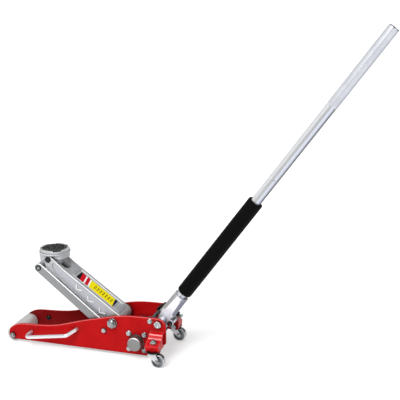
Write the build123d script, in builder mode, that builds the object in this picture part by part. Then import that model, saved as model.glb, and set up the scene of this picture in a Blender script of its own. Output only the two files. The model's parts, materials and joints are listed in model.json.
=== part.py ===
from build123d import *
import os
from math import asin, atan2, cos, hypot, pi, radians, sin, sqrt

os.makedirs("parts", exist_ok=True)

# A low trolley jack. X runs from the front roller back to the handle, Z is up from the floor,
# and the middle plane is Y zero. The jack stands as it is used: arm raised, handle leaning back.
# Places along X are given as distances back from the front axle and are named with _back.

# Fits
running_clearance = 0.2
bolt_clearance = 0.2
side_clearance = 0.5
thread_seat = 0.05
open_pivot_clearance = 0.75

# Frame
frame_width = 136.0
plate_thickness = 8.0
plate_edge = 1.4
plate_ground = 12.0
nose_reach = 14.0
nose_start_z = 34.0
nose_turn_back = 0.5
nose_turn_z = 57.0
shoulder_back = 45.0
shoulder_z = 68.8
shoulder_slope = 0.06
waist_back = 153.0
waist_z = 77.4
rise_back = 240.0
rise_z = 102.0
hump_back = 345.0
hump_z = 128.5
deck_back = 477.0
deck_z = 142.0
plate_rear_back = 535.0
plate_rear_round = 28.0
plate_tail_z = 56.0
notch_back = 475.0
notch_round = 8.0

# Front roller
roller_radius = 25.5
roller_end_recess = 4.0
roller_rim = 5.0
front_axle_radius = 6.0
front_nut_flats = 17.0
front_nut_height = 8.0
front_nut_overhang = 2.0

# Lift linkage: pivots of the arm and of the link below it
lift_pivot_back = 356.0
lift_pivot_z = 110.0
link_offset_back = 29.0
link_offset_down = 27.4
arm_length = 293.0
arm_angle = 38.5
arm_side_gap = 1.5
arm_wall = 8.0
arm_edge = 1.6
arm_web = 8.0
arm_barrel_radius = 23.0
arm_tube_radius = 20.5
arm_ear_radius = 13.5
arm_chin_setback = 15.0
arm_chin_radius = 19.0
arm_chin_drop = 8.0
arm_neck_setback = 58.0
arm_neck_radius = 18.7
arm_neck_drop = 8.3
arm_fork_depth = 68.0
pocket_depth = 3.0
pocket_rear_along = 50.0
pocket_rear_radius = 20.0
pocket_rear_drop = 7.0
pocket_neck_radius = 14.0
pocket_front_setback = 29.0
pocket_front_radius = 9.0
pocket_front_drop = 1.5
tray_front_setback = 94.0
tray_rear_along = 26.0
tray_width = 54.0
tray_depth = 4.0
chevron_count = 3
chevron_first_setback = 132.0
chevron_step = 53.0
chevron_first_drop = 11.0
chevron_drop_step = 3.5
chevron_fore_leg = 15.0
chevron_aft_leg = 21.0
chevron_fore_angle = 52.0
chevron_aft_angle = 152.0
chevron_width = 4.4
chevron_height = 2.2
crank_radius = 40.0
crank_lead = 18.0
crank_lobe_radius = 14.0
crank_pin_radius = 7.0
lift_shaft_radius = 12.5
lift_journal_radius = 9.0
lift_nut_flats = 27.0
lift_nut_height = 11.0
lift_nut_overhang = 3.0
lift_washer_radius = 16.0
lift_washer_height = 2.0
arm_bush_wall = 2.5
arm_bush_length = 18.0
arm_collar_radius = 18.0
saddle_pin_radius = 8.0
saddle_pin_stem_gap = 2.5
saddle_pin_head_flats = 19.0
saddle_pin_head_height = 3.0
link_width = 30.0
link_thickness = 8.0
link_edge = 2.2
link_spacer_length = 5.0
link_pin_radius = 6.0
link_pin_head_radius = 11.0
link_pin_head_height = 2.0
link_spacer_radius = 10.0
link_nut_flats = 14.0
link_nut_height = 6.5
link_nut_overhang = 2.0
link_bolt_head_flats = 16.0
link_bolt_head_height = 3.5

# Saddle and the bracket that keeps it level
saddle_setback = 5.0
bracket_radius = 48.5
bracket_nose_radius = 51.0
bracket_nose_foot = 47.0
bracket_body_reach = 12.0
bracket_shelf_low = 0.8
bracket_low = 21.0
bracket_high = 14.2
bracket_boss_radius = 13.0
bracket_stem_wall = 7.0
saddle_flange_radius = 50.5
saddle_flange_height = 5.4
saddle_crown_radius = 48.0
saddle_crown_height = 9.2
saddle_edge = 0.8
saddle_pad_radius = 40.0
saddle_pad_depth = 4.0
saddle_notch_width = 27.0
saddle_notch_depth = 3.0
saddle_notch_count = 4
saddle_notch_turn = 35.0
saddle_stem_radius = 15.0
saddle_ring_height = 2.0
saddle_ring_wall = 4.0
saddle_ring_gap = 8.0
saddle_ring_room = 24.0
pad_groove_width = 2.4
pad_groove_depth = 1.6
pad_groove_count = 4
pad_rise = 0.6

# Hydraulic base, bolted between the plates
base_back = 437.5
base_z = 56.5
base_bolt_half_pitch = 26.0
base_length = 70.0
base_height = 69.0
base_pad_depth = 16.0
base_core_height = 62.0
base_shoulder_radius = 24.0
base_cap_radius = 22.5
base_cap_reach = 26.0
base_cap_chamfer = 2.0
base_bolt_radius = 4.0
base_bolt_depth = 14.0
base_bolt_flats = 13.0
base_bolt_head = 6.0
base_boss_radius = 31.0
base_rear_wall = 7.0
ram_axis_z = 72.4
cylinder_radius = 26.0
cylinder_wall = 6.0
cylinder_front_back = 398.0
gland_height = 6.0
gland_spigot = 5.0
gland_radius = 24.0
ram_radius = 13.0
ram_piston_length = 20.0
ram_end_gap = 2.0
ram_seal_gap = 0.3
ram_head_length = 30.0
ram_head_width = 40.0
ram_head_height = 31.0
crank_rise = 6.0
lift_stroke_down = 45.5
valve_block_length = 22.0
valve_block_width = 30.0
valve_block_low = 84.0
valve_block_high = 112.0

# Handle, its socket and the pump that it works
socket_pivot_back = 510.0
socket_pivot_z = 124.0
handle_angle = 54.1
handle_length = 1146.0
handle_seat = 22.0
handle_radius = 16.0
handle_wall = 2.0
handle_split = 591.0
handle_spigot_length = 70.0
handle_spigot_gap = 0.15
grip_start = 105.0
grip_split_gap = 91.0
grip_radius = 22.0
grip_round = 3.0
button_radius = 4.0
button_reach = 3.0
button_from_split = 30.0
socket_body_start = 14.0
socket_body_end = 85.0
socket_end = 97.0
socket_low_width = 50.0
socket_low_depth = 44.0
socket_low_corner = 10.0
socket_top_width = 46.0
socket_top_depth = 46.0
socket_top_corner = 12.5
socket_collar_radius = 23.5
socket_throat_radius = 13.0
socket_hub_radius = 16.0
socket_cheek_gap = 28.0
socket_boss_radius = 13.0
socket_bolt_radius = 7.0
socket_bolt_end_gap = 2.0
socket_bolt_flats = 22.0
socket_bolt_head = 7.0
lock_bolt_along = 37.0
lock_bolt_radius = 5.0
lock_bolt_reach = 13.0
lock_bolt_flats = 16.0
lock_bolt_head = 7.0
lock_nut_height = 6.0
pump_lever = 27.0
pump_lever_drop = 27.0
pump_roller_radius = 9.0
pump_roller_length = 27.0
pump_pin_radius = 5.0
pump_pin_overhang = 7.0
pump_ear_radius = 11.0
pump_clip_radius = 8.5
pump_clip_height = 3.0
pump_angle = 44.0
pump_barrel_radius = 15.0
pump_barrel_shift = 3.0
pump_barrel_drop = 35.0
pump_plunger_radius = 7.0
pump_head_radius = 11.0
pump_head_height = 5.0
pump_contact_gap = 1.35
pump_plunger_length = 43.0
pump_stroke_down = 39.0
valve_angle = 35.0
valve_stem_radius = 4.5
valve_stem_length = 30.0
fork_radius = 10.0
fork_reach = 4.0
fork_root = 12.0
fork_thickness = 3.0
fork_width = 8.0
fork_hub_length = 8.0
cross_rod_back = 483.4
cross_rod_z = 131.7
cross_rod_radius = 6.5
cross_rod_bolt_radius = 4.0
cross_rod_bolt_depth = 12.0
cross_rod_bolt_flats = 13.0
cross_rod_bolt_head = 5.5

# Handle return spring, wound round the cross rod
spring_wire = 5.0
spring_seat_gap = 0.3
spring_turns = 4
spring_turn_gap = 0.9
spring_side_gap = 2.5
spring_hook_along = 28.0
spring_hook_end_y = 5.0
spring_hook_round = 6.0
hook_pocket_floor = 19.9
hook_pocket_top = 44.0
spring_tail = 5.0
spring_arcs_per_turn = 4
spring_samples = 400

# Carrying handles on the plates
carry_radius = 5.75
carry_front_back = 68.0
carry_front_z = 44.6
carry_bend_back = 60.5
carry_bend_z = 38.5
carry_corner_back = 209.0
carry_corner_z = 62.4
carry_rear_back = 231.0
carry_rear_z = 74.0
carry_reach = 36.0
carry_stand = 9.0
carry_front_round = 13.0
carry_corner_round = 13.0
carry_foot_round = 8.0
carry_stud_radius = 4.5
carry_nut_height = 3.5
carry_nut_radius = 7.5

# Rear casters and their brackets
caster_back = 508.0
caster_outboard = 40.0
caster_trail = 16.0
wheel_radius = 21.5
wheel_width = 18.0
wheel_hub_radius = 9.0
wheel_web = 8.0
wheel_rim = 4.5
wheel_axle_radius = 4.0
wheel_axle_overhang = 3.0
fork_sheet = 2.5
fork_gap = 1.5
caster_fork_top = 47.0
caster_fork_plate_radius = 17.0
caster_leg_width = 13.0
caster_race_radius = 23.0
caster_race_gap = 0.3
kingpin_radius = 5.0
kingpin_nut_flats = 17.0
kingpin_nut_height = 10.0
kingpin_overhang = 2.5
kingpin_flange_radius = 8.5
kingpin_flange_height = 1.6
bracket_start_back = 485.0
bracket_end_back = 529.0
caster_bracket_top = 101.0
caster_bracket_step1_out = 14.0
caster_bracket_step1_z = 93.5
caster_bracket_step2_out = 22.0
caster_bracket_step2_z = 84.0
caster_bracket_lip_out = 54.0
caster_bracket_lip_z = 70.5
caster_bracket_toe_out = 49.0
caster_bracket_bottom = 52.0
caster_bracket_pad_radius = 11.0
caster_bolt_radius = 5.0
caster_bolt_flats = 16.0
caster_bolt_head = 6.0
caster_bolt_depth = 12.0
caster_bolt_fore_back = 493.0
caster_bolt_fore_z = 90.0
caster_bolt_aft_back = 519.0
caster_bolt_aft_z = 66.0

# Worked-out places
plate_inner = frame_width / 2 - plate_thickness
plate_outer = frame_width / 2
handle_lean = radians(handle_angle)
grip_end = handle_split - grip_split_gap
jack_length = roller_radius + socket_pivot_back + handle_length * cos(handle_lean) \
    + handle_radius * sin(handle_lean)
front_axle_x = roller_radius - jack_length / 2
front_axle_z = roller_radius
lift_x = front_axle_x + lift_pivot_back
link_x = lift_x - link_offset_back
link_z = lift_pivot_z - link_offset_down
arm_lean = radians(arm_angle)
arm_along = Vector(-cos(arm_lean), 0, sin(arm_lean))
saddle_x = lift_x + arm_length * arm_along.X
saddle_z = lift_pivot_z + arm_length * arm_along.Z
saddle_link_x = saddle_x - link_offset_back
saddle_link_z = saddle_z - link_offset_down
link_outer = plate_inner - link_spacer_length
link_inner = link_outer - link_thickness
arm_half = link_inner - link_pin_head_height - arm_side_gap
arm_fork = arm_half - arm_wall
arm_neck_along = arm_length - arm_neck_setback
arm_slot_along = arm_length - arm_fork_depth
saddle_pin_end = saddle_stem_radius + saddle_pin_stem_gap
arm_plane = Plane(origin=(lift_x, 0, lift_pivot_z), x_dir=arm_along, z_dir=(0, 1, 0))
socket_x = front_axle_x + socket_pivot_back
handle_along = Vector(cos(handle_lean), 0, sin(handle_lean))
handle_back = Vector(sin(handle_lean), 0, -cos(handle_lean))
handle_plane = Plane(origin=(socket_x, 0, socket_pivot_z), x_dir=handle_back, z_dir=handle_along)
base_x = front_axle_x + base_back
base_core_half = plate_inner - base_pad_depth
base_front_x = base_x - base_length / 2
base_rear_x = base_x + base_length / 2
crank_x = lift_x - crank_radius * sin(radians(crank_lead))
crank_z = lift_pivot_z - crank_radius * cos(radians(crank_lead))
sides = {"left": -1, "right": 1}


def across(y):
    # The upright plane at a given Y, read as X to the rear and Z up
    return Plane.XZ.offset(-y)


def at(back, z):
    # A point of a side view, from its distance behind the front axle
    return (front_axle_x + back, z)


def rod_y(x, z, radius, y_from, y_to, mode=Mode.ADD):
    # A round bar or hole across the jack
    with Locations((x, (y_from + y_to) / 2, z)):
        Cylinder(radius, abs(y_to - y_from), rotation=(90, 0, 0), mode=mode)


def hex_y(x, z, flats, y_from, y_to, mode=Mode.ADD):
    # A hexagon across the jack, for bolt heads and nuts
    with BuildSketch(across(y_from)) as hexagon:
        with Locations((x, z)):
            RegularPolygon(flats / 2, 6, major_radius=False)
    extrude(hexagon.sketch, amount=y_from - y_to, mode=mode)


def rod_on(plane, radius, start, end, mode=Mode.ADD):
    # A round bar or hole along a plane's normal
    with BuildSketch(plane.offset(start)) as circle:
        Circle(radius)
    extrude(circle.sketch, amount=end - start, mode=mode)


def hull_of(plane, circles):
    # The outline drawn tight round some circles, each a place and a radius
    with BuildSketch(plane) as outline:
        for place, radius in circles:
            with Locations(place):
                Circle(radius)
        make_hull()
    return outline.sketch


# Side plates

def outer_rim(piece, side):
    # The outline of the face that looks away from the jack's middle
    return piece.faces().sort_by(Axis.Y)[0 if side < 0 else -1].outer_wire().edges()


def plate_holes():
    # Every hole through a side plate: place in side view, and radius
    holes = [(at(0, front_axle_z), front_axle_radius + bolt_clearance),
             (at(carry_front_back, carry_front_z), carry_stud_radius + bolt_clearance),
             (at(carry_rear_back, carry_rear_z), carry_stud_radius + bolt_clearance),
             ((lift_x, lift_pivot_z), lift_journal_radius + bolt_clearance),
             ((link_x, link_z), link_pin_radius + bolt_clearance),
             ((socket_x, socket_pivot_z), socket_bolt_radius + bolt_clearance),
             (at(cross_rod_back, cross_rod_z), cross_rod_bolt_radius + bolt_clearance),
             (at(caster_bolt_fore_back, caster_bolt_fore_z), caster_bolt_radius + bolt_clearance),
             (at(caster_bolt_aft_back, caster_bolt_aft_z), caster_bolt_radius + bolt_clearance),
             ((base_x, base_z), base_shoulder_radius + bolt_clearance)]
    for fore in (-1, 1):
        for rise in (-1, 1):
            place = (base_x + fore * base_bolt_half_pitch, base_z + rise * base_bolt_half_pitch)
            holes.append((place, base_bolt_radius + bolt_clearance))
    return holes


def make_side_plate(side):
    with BuildPart() as plate:
        with BuildSketch(across(side * plate_inner)):
            with BuildLine():
                nose = Spline(at(-nose_reach, nose_start_z), at(nose_turn_back, nose_turn_z),
                              at(shoulder_back, shoulder_z), tangents=((0, 1), (1, shoulder_slope)))
                Spline(nose @ 1, at(waist_back, waist_z), at(rise_back, rise_z),
                       at(hump_back, hump_z), at(deck_back, deck_z), tangents=(nose % 1, (1, 0)))
                Line(at(deck_back, deck_z), at(plate_rear_back - plate_rear_round, deck_z))
                corner = at(plate_rear_back, deck_z - plate_rear_round)
                TangentArc(at(plate_rear_back - plate_rear_round, deck_z), corner, tangent=(1, 0))
                FilletPolyline(corner, at(plate_rear_back, plate_tail_z),
                               at(notch_back, plate_tail_z), at(notch_back, plate_ground),
                               at(-nose_reach, plate_ground), at(-nose_reach, nose_start_z),
                               radius=notch_round)
            make_face()
            for place, radius in plate_holes():
                with Locations(place):
                    Circle(radius, mode=Mode.SUBTRACT)
        extrude(amount=-side * plate_thickness)
        chamfer(outer_rim(plate, side), plate_edge)
    return plate


side_plate_left = make_side_plate(sides["left"])
side_plate_right = make_side_plate(sides["right"])

# Front roller on its axle

roller_half = plate_inner - side_clearance

with BuildPart() as front_roller:
    rod_y(front_axle_x, front_axle_z, roller_radius, -roller_half, roller_half)
    for side in sides.values():
        rod_y(front_axle_x, front_axle_z, roller_radius - roller_rim,
              side * (roller_half - roller_end_recess), side * roller_half, Mode.SUBTRACT)
        rod_y(front_axle_x, front_axle_z, front_axle_radius + roller_rim,
              side * (roller_half - roller_end_recess), side * roller_half)
    rod_y(front_axle_x, front_axle_z, front_axle_radius + running_clearance,
          -plate_inner, plate_inner, Mode.SUBTRACT)

front_axle_half = plate_outer + front_nut_height + front_nut_overhang

with BuildPart() as front_axle:
    rod_y(front_axle_x, front_axle_z, front_axle_radius, -front_axle_half, front_axle_half)

with BuildPart() as front_axle_nuts:
    for side in sides.values():
        hex_y(front_axle_x, front_axle_z, front_nut_flats,
              side * plate_outer, side * (plate_outer + front_nut_height))
        rod_y(front_axle_x, front_axle_z, front_axle_radius + thread_seat,
              side * plate_outer, side * (plate_outer + front_nut_height), Mode.SUBTRACT)

# Carrying handles: a bent bar whose studs pass through the plate to nuts inside

carry_y = plate_outer + carry_reach


def make_carry_handle(side):
    front_x, front_z = at(carry_front_back, carry_front_z)
    bend_x, bend_z = at(carry_bend_back, carry_bend_z)
    corner_x, corner_z = at(carry_corner_back, carry_corner_z)
    rear_x, rear_z = at(carry_rear_back, carry_rear_z)
    with BuildPart() as handle:
        with BuildLine() as bend:
            FilletPolyline((front_x, side * plate_outer, front_z),
                           (front_x, side * (plate_outer + carry_stand), front_z),
                           (bend_x, side * carry_y, bend_z),
                           (corner_x, side * carry_y, corner_z),
                           (rear_x, side * (plate_outer + carry_stand), rear_z),
                           (rear_x, side * plate_outer, rear_z),
                           radius=(carry_foot_round, carry_front_round, carry_corner_round, carry_foot_round))
        with BuildSketch(Plane(bend.wire() @ 0, z_dir=bend.wire() % 0)):
            Circle(carry_radius)
        sweep(path=bend.wire())
        for x, z in ((front_x, front_z), (rear_x, rear_z)):
            rod_y(x, z, carry_stud_radius, side * plate_outer, side * (plate_inner - carry_nut_height))
    return handle


carry_handle_left = make_carry_handle(sides["left"])
carry_handle_right = make_carry_handle(sides["right"])

with BuildPart() as carry_handle_nuts:
    for side in sides.values():
        for x, z in (at(carry_front_back, carry_front_z), at(carry_rear_back, carry_rear_z)):
            rod_y(x, z, carry_nut_radius, side * plate_inner, side * (plate_inner - carry_nut_height))
            rod_y(x, z, carry_stud_radius + thread_seat,
                  side * plate_inner, side * (plate_inner - carry_nut_height), Mode.SUBTRACT)

# Lift arm: a deep fork with a barrel at its rear end and a crank lobe below it

arm_bore_radius = lift_shaft_radius + running_clearance + arm_bush_wall
arm_up = Vector(sin(arm_lean), 0, cos(arm_lean))
crank_local = arm_plane.to_local_coords(Vector(crank_x, 0, crank_z))
barrel = ((0, 0), arm_barrel_radius)
neck = ((arm_neck_along, -arm_neck_drop), arm_neck_radius)
chin = ((arm_length - arm_chin_setback, -arm_chin_drop), arm_chin_radius)
ear = ((arm_length, 0), arm_ear_radius)
lobe = ((crank_local.X, crank_local.Y), crank_lobe_radius)
neck_top = arm_neck_radius - arm_neck_drop
top_tilt = atan2(neck_top - arm_barrel_radius, arm_neck_along)
top_along = arm_along * cos(top_tilt) + arm_up * sin(top_tilt)
top_up = arm_up * cos(top_tilt) - arm_along * sin(top_tilt)
top_origin = Vector(lift_x, 0, lift_pivot_z) + arm_up * arm_barrel_radius
top_plane = Plane(origin=top_origin, x_dir=top_along, z_dir=top_up)
arm_reach = arm_length + 3 * arm_ear_radius
pocket = [((pocket_rear_along, -pocket_rear_drop), pocket_rear_radius),
          ((arm_neck_along, -arm_neck_drop), pocket_neck_radius),
          ((arm_length - pocket_front_setback, -pocket_front_drop), pocket_front_radius)]


def add_chevrons(side):
    # Raised ribs, each a bent bar on the floor of the arm's side pocket
    floor = arm_plane.offset(side * (arm_half - pocket_depth))
    for index in range(chevron_count):
        root = Vector(arm_length - chevron_first_setback - index * chevron_step,
                      -chevron_first_drop - index * chevron_drop_step)
        fore = Vector(chevron_fore_leg, 0).rotate(Axis.Z, chevron_fore_angle)
        aft = Vector(chevron_aft_leg, 0).rotate(Axis.Z, chevron_aft_angle)
        with BuildSketch(floor) as rib:
            with BuildLine():
                Polyline(root + fore, root, root + aft)
            trace(line_width=chevron_width)
        extrude(rib.sketch, amount=side * chevron_height)


with BuildPart() as lift_arm:
    for circles in ((barrel, lobe, neck), (neck, chin, ear)):
        extrude(hull_of(arm_plane, circles), amount=arm_half, both=True)
    # The inside is open from below, up to the top web
    with BuildSketch(top_plane.offset(-arm_web)):
        Rectangle(2 * arm_reach, 2 * arm_fork)
    extrude(amount=-arm_reach, mode=Mode.SUBTRACT)
    # A round-ended gap in the web makes the fork for the saddle bracket
    with BuildSketch(top_plane):
        with Locations((arm_slot_along + arm_fork, 0)):
            Circle(arm_fork)
            Rectangle(arm_reach, 2 * arm_fork, align=(Align.MIN, Align.CENTER))
    extrude(amount=arm_reach, both=True, mode=Mode.SUBTRACT)
    rod_y(lift_x, lift_pivot_z, arm_tube_radius, -arm_half, arm_half)
    # A shallow tray in the top, and a pocket in each cheek
    with BuildSketch(top_plane):
        with Locations((tray_rear_along, 0)):
            Rectangle(arm_length - tray_front_setback - tray_rear_along, tray_width,
                      align=(Align.MIN, Align.CENTER))
    extrude(amount=-tray_depth, mode=Mode.SUBTRACT)
    for side in sides.values():
        extrude(hull_of(arm_plane.offset(side * (arm_half - pocket_depth)), pocket),
                amount=side * pocket_depth, mode=Mode.SUBTRACT)
        add_chevrons(side)
    rod_y(lift_x, lift_pivot_z, arm_bore_radius, -arm_half, arm_half, Mode.SUBTRACT)
    rod_y(saddle_x, saddle_z, saddle_pin_radius + thread_seat, -arm_half, arm_half, Mode.SUBTRACT)
    rod_y(crank_x, crank_z, crank_pin_radius + thread_seat, -arm_half, arm_half, Mode.SUBTRACT)
    for side in sides.values():
        chamfer(outer_rim(lift_arm, side), arm_edge)

with BuildPart() as arm_bushes:
    for side in sides.values():
        rod_y(lift_x, lift_pivot_z, arm_bore_radius - thread_seat,
              side * (arm_half - arm_bush_length), side * arm_half)
        rod_y(lift_x, lift_pivot_z, arm_collar_radius,
              side * arm_half, side * (plate_inner - side_clearance))
    rod_y(lift_x, lift_pivot_z, lift_shaft_radius + running_clearance,
          -plate_inner, plate_inner, Mode.SUBTRACT)

lift_shaft_half = plate_outer + lift_washer_height + lift_nut_height + lift_nut_overhang

with BuildPart() as lift_pivot_shaft:
    rod_y(lift_x, lift_pivot_z, lift_shaft_radius, -plate_inner, plate_inner)
    rod_y(lift_x, lift_pivot_z, lift_journal_radius, -lift_shaft_half, lift_shaft_half)

with BuildPart() as lift_pivot_nuts:
    for side in sides.values():
        washer_y = plate_outer + lift_washer_height
        rod_y(lift_x, lift_pivot_z, lift_washer_radius, side * plate_outer, side * washer_y)
        hex_y(lift_x, lift_pivot_z, lift_nut_flats, side * washer_y,
              side * (washer_y + lift_nut_height))
        rod_y(lift_x, lift_pivot_z, lift_journal_radius + thread_seat,
              side * plate_outer, side * lift_shaft_half, Mode.SUBTRACT)

with BuildPart() as crank_pin:
    rod_y(crank_x, crank_z, crank_pin_radius, -arm_half, arm_half)

with BuildPart() as saddle_pivot_pins:
    for side in sides.values():
        rod_y(saddle_x, saddle_z, saddle_pin_radius,
              side * saddle_pin_end, side * arm_half)
        hex_y(saddle_x, saddle_z, saddle_pin_head_flats,
              side * arm_half, side * (arm_half + saddle_pin_head_height))

# Links: flat bars outside the arm, which keep the saddle level


def make_link(side):
    ends = [((link_x, link_z), link_width / 2), ((saddle_link_x, saddle_link_z), link_width / 2)]
    with BuildPart() as link:
        extrude(hull_of(across(side * link_inner), ends), amount=-side * link_thickness)
        for place, _ in ends:
            rod_y(*place, link_pin_radius + running_clearance,
                  side * link_inner, side * link_outer, Mode.SUBTRACT)
        chamfer(outer_rim(link, side), link_edge)
    return link


link_left = make_link(sides["left"])
link_right = make_link(sides["right"])

link_pin_end = plate_outer + link_nut_height + link_nut_overhang

with BuildPart() as link_pivot_pins:
    for side in sides.values():
        rod_y(link_x, link_z, link_pin_radius, side * link_inner, side * link_pin_end)
        rod_y(link_x, link_z, link_pin_head_radius,
              side * (link_inner - link_pin_head_height), side * link_inner)

with BuildPart() as link_spacers:
    for side in sides.values():
        rod_y(link_x, link_z, link_spacer_radius,
              side * (link_outer + side_clearance), side * plate_inner)
    rod_y(link_x, link_z, link_pin_radius + thread_seat, -plate_inner, plate_inner, Mode.SUBTRACT)

with BuildPart() as link_pivot_nuts:
    for side in sides.values():
        hex_y(link_x, link_z, link_nut_flats, side * plate_outer,
              side * (plate_outer + link_nut_height))
    rod_y(link_x, link_z, link_pin_radius + thread_seat, -link_pin_end, link_pin_end, Mode.SUBTRACT)

# Saddle bracket: stays level between the arm's ears, with a cross boss for the links

bracket_half = arm_fork - 2 * side_clearance
bracket_top_z = saddle_z + bracket_high
bracket_low_z = saddle_z - bracket_low
bracket_height = bracket_high + bracket_low
saddle_axis_x = saddle_x + saddle_setback
bracket_boss_half = link_inner - side_clearance

with BuildPart() as saddle_bracket:
    # A round nose in front, a shelf under the saddle behind, and a boss round the saddle's stem
    with Locations((saddle_axis_x, 0, bracket_low_z)):
        Cone(bracket_nose_foot, bracket_nose_radius, bracket_height,
             align=(Align.CENTER, Align.CENTER, Align.MIN))
    with Locations((saddle_x + bracket_body_reach, 0, bracket_low_z)):
        Box(2 * bracket_nose_radius, 2 * bracket_half, bracket_height,
            align=(Align.MAX, Align.CENTER, Align.MIN), mode=Mode.INTERSECT)
    with BuildSketch(Plane.XY.offset(saddle_z + bracket_shelf_low)):
        with Locations((saddle_axis_x, 0)):
            Circle(bracket_radius)
            Rectangle(2 * bracket_radius, 2 * bracket_half, mode=Mode.INTERSECT)
    extrude(amount=bracket_high - bracket_shelf_low)
    with Locations((saddle_axis_x, 0, bracket_low_z)):
        Cylinder(saddle_stem_radius + bracket_stem_wall, bracket_height,
                 align=(Align.CENTER, Align.CENTER, Align.MIN))
    link_web = [((saddle_link_x, saddle_link_z), bracket_boss_radius),
                ((saddle_x, saddle_z), bracket_boss_radius)]
    extrude(hull_of(across(0), link_web), amount=bracket_half, both=True)
    rod_y(saddle_link_x, saddle_link_z, bracket_boss_radius, -bracket_boss_half, bracket_boss_half)
    with Locations((saddle_axis_x, 0, (bracket_low_z + bracket_top_z) / 2)):
        Cylinder(saddle_stem_radius + running_clearance, 3 * (bracket_top_z - bracket_low_z),
                 mode=Mode.SUBTRACT)
    for side in sides.values():
        rod_y(saddle_x, saddle_z, saddle_pin_radius + running_clearance,
              side * (saddle_pin_end - side_clearance), side * arm_half, Mode.SUBTRACT)
    rod_y(saddle_link_x, saddle_link_z, link_pin_radius + thread_seat,
          -bracket_boss_half, bracket_boss_half, Mode.SUBTRACT)
    # Room below for the ring that holds the saddle's stem
    with Locations((saddle_axis_x, 0, bracket_low_z)):
        Cylinder(saddle_stem_radius + saddle_ring_wall + side_clearance, saddle_ring_room,
                 align=(Align.CENTER, Align.CENTER, Align.MAX), mode=Mode.SUBTRACT)

link_bolt_half = link_outer + side_clearance

with BuildPart() as saddle_link_pin:
    rod_y(saddle_link_x, saddle_link_z, link_pin_radius, -link_bolt_half, link_bolt_half)

with BuildPart() as saddle_link_caps:
    for side in sides.values():
        hex_y(saddle_link_x, saddle_link_z, link_bolt_head_flats, side * link_bolt_half,
              side * (link_bolt_half + link_bolt_head_height))

# Saddle: a notched crown with a rubber pad, turning in the bracket

saddle_low_z = bracket_top_z + spring_seat_gap
crown_low_z = saddle_low_z + saddle_flange_height
saddle_top_z = crown_low_z + saddle_crown_height
pad_low_z = saddle_top_z - saddle_pad_depth
stem_low_z = bracket_low_z - saddle_ring_gap


def disc_z(radius, z_from, z_to, mode=Mode.ADD):
    # A disc on the saddle's upright axis
    with Locations((saddle_axis_x, 0, (z_from + z_to) / 2)):
        Cylinder(radius, abs(z_to - z_from), mode=mode)


with BuildPart() as saddle:
    disc_z(saddle_flange_radius, saddle_low_z, crown_low_z)
    disc_z(saddle_crown_radius, crown_low_z, saddle_top_z)
    chamfer(saddle.faces().sort_by(Axis.Z)[-1].edges(), saddle_edge)
    disc_z(saddle_stem_radius, stem_low_z, saddle_low_z)
    disc_z(saddle_pad_radius + running_clearance, pad_low_z, saddle_top_z, Mode.SUBTRACT)
    with BuildSketch(Plane.XY.offset(saddle_top_z - saddle_notch_depth)):
        with Locations((saddle_axis_x, 0)):
            with PolarLocations(saddle_crown_radius, saddle_notch_count, start_angle=saddle_notch_turn):
                Rectangle(saddle_crown_radius - saddle_pad_radius + saddle_notch_width, saddle_notch_width)
    extrude(amount=saddle_notch_depth, mode=Mode.SUBTRACT)

with BuildPart() as saddle_pad:
    disc_z(saddle_pad_radius, pad_low_z, saddle_top_z + pad_rise)
    groove_step = saddle_pad_radius / (pad_groove_count + 1)
    for index in range(pad_groove_count):
        groove_radius = groove_step * (index + 1)
        with BuildSketch(Plane.XY.offset(saddle_top_z + pad_rise)) as groove:
            with Locations((saddle_axis_x, 0)):
                Circle(groove_radius + pad_groove_width / 2)
                Circle(groove_radius - pad_groove_width / 2, mode=Mode.SUBTRACT)
        extrude(groove.sketch, amount=-pad_groove_depth, mode=Mode.SUBTRACT)

ring_top_z = bracket_low_z - running_clearance

with BuildPart() as saddle_ring:
    disc_z(saddle_stem_radius + saddle_ring_wall, ring_top_z - saddle_ring_height, ring_top_z)
    disc_z(saddle_stem_radius + thread_seat, ring_top_z - saddle_ring_height, ring_top_z, Mode.SUBTRACT)

# Hydraulic base between the plates, with its ram

base_bolt_places = [(base_x + fore * base_bolt_half_pitch, base_z + rise * base_bolt_half_pitch)
                    for fore in (-1, 1) for rise in (-1, 1)]
cylinder_front_x = front_axle_x + cylinder_front_back
cylinder_end_x = base_rear_x - base_rear_wall
ram_plane = Plane(origin=(0, 0, ram_axis_z), x_dir=(0, 1, 0), z_dir=(1, 0, 0))
valve_along = Vector(cos(radians(valve_angle)), 0, sin(radians(valve_angle)))
valve_side = Vector(sin(radians(valve_angle)), 0, -cos(radians(valve_angle)))
valve_plane = Plane(origin=(socket_x, 0, socket_pivot_z), x_dir=valve_side, z_dir=valve_along)
valve_tip = -fork_root - fork_hub_length - valve_stem_length

with BuildPart() as hydraulic_base:
    with Locations((base_x, 0, base_z)):
        Box(base_length, 2 * base_core_half, base_core_height)
    for side in sides.values():
        with Locations((base_x, side * (plate_inner + base_core_half) / 2, base_z)):
            Box(base_length, base_pad_depth, base_height)
    rod_on(ram_plane, base_boss_radius, base_front_x, base_rear_x)
    with Locations((base_rear_x, 0, valve_block_low)):
        Box(valve_block_length, valve_block_width, valve_block_high - valve_block_low,
            align=(Align.MAX, Align.CENTER, Align.MIN))
    for side in sides.values():
        rod_y(base_x, base_z, base_shoulder_radius, side * plate_inner, side * plate_outer)
        rod_y(base_x, base_z, base_cap_radius, side * plate_outer, side * (plate_outer + base_cap_reach))
        chamfer(outer_rim(hydraulic_base, side), base_cap_chamfer)
        for x, z in base_bolt_places:
            rod_y(x, z, base_bolt_radius + thread_seat,
                  side * (plate_inner - base_bolt_depth), side * plate_inner, Mode.SUBTRACT)
    rod_on(ram_plane, cylinder_radius + thread_seat, cylinder_front_x - base_length,
           cylinder_end_x, Mode.SUBTRACT)
    rod_on(valve_plane, valve_stem_radius + running_clearance, valve_tip - side_clearance, 0,
           Mode.SUBTRACT)

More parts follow.
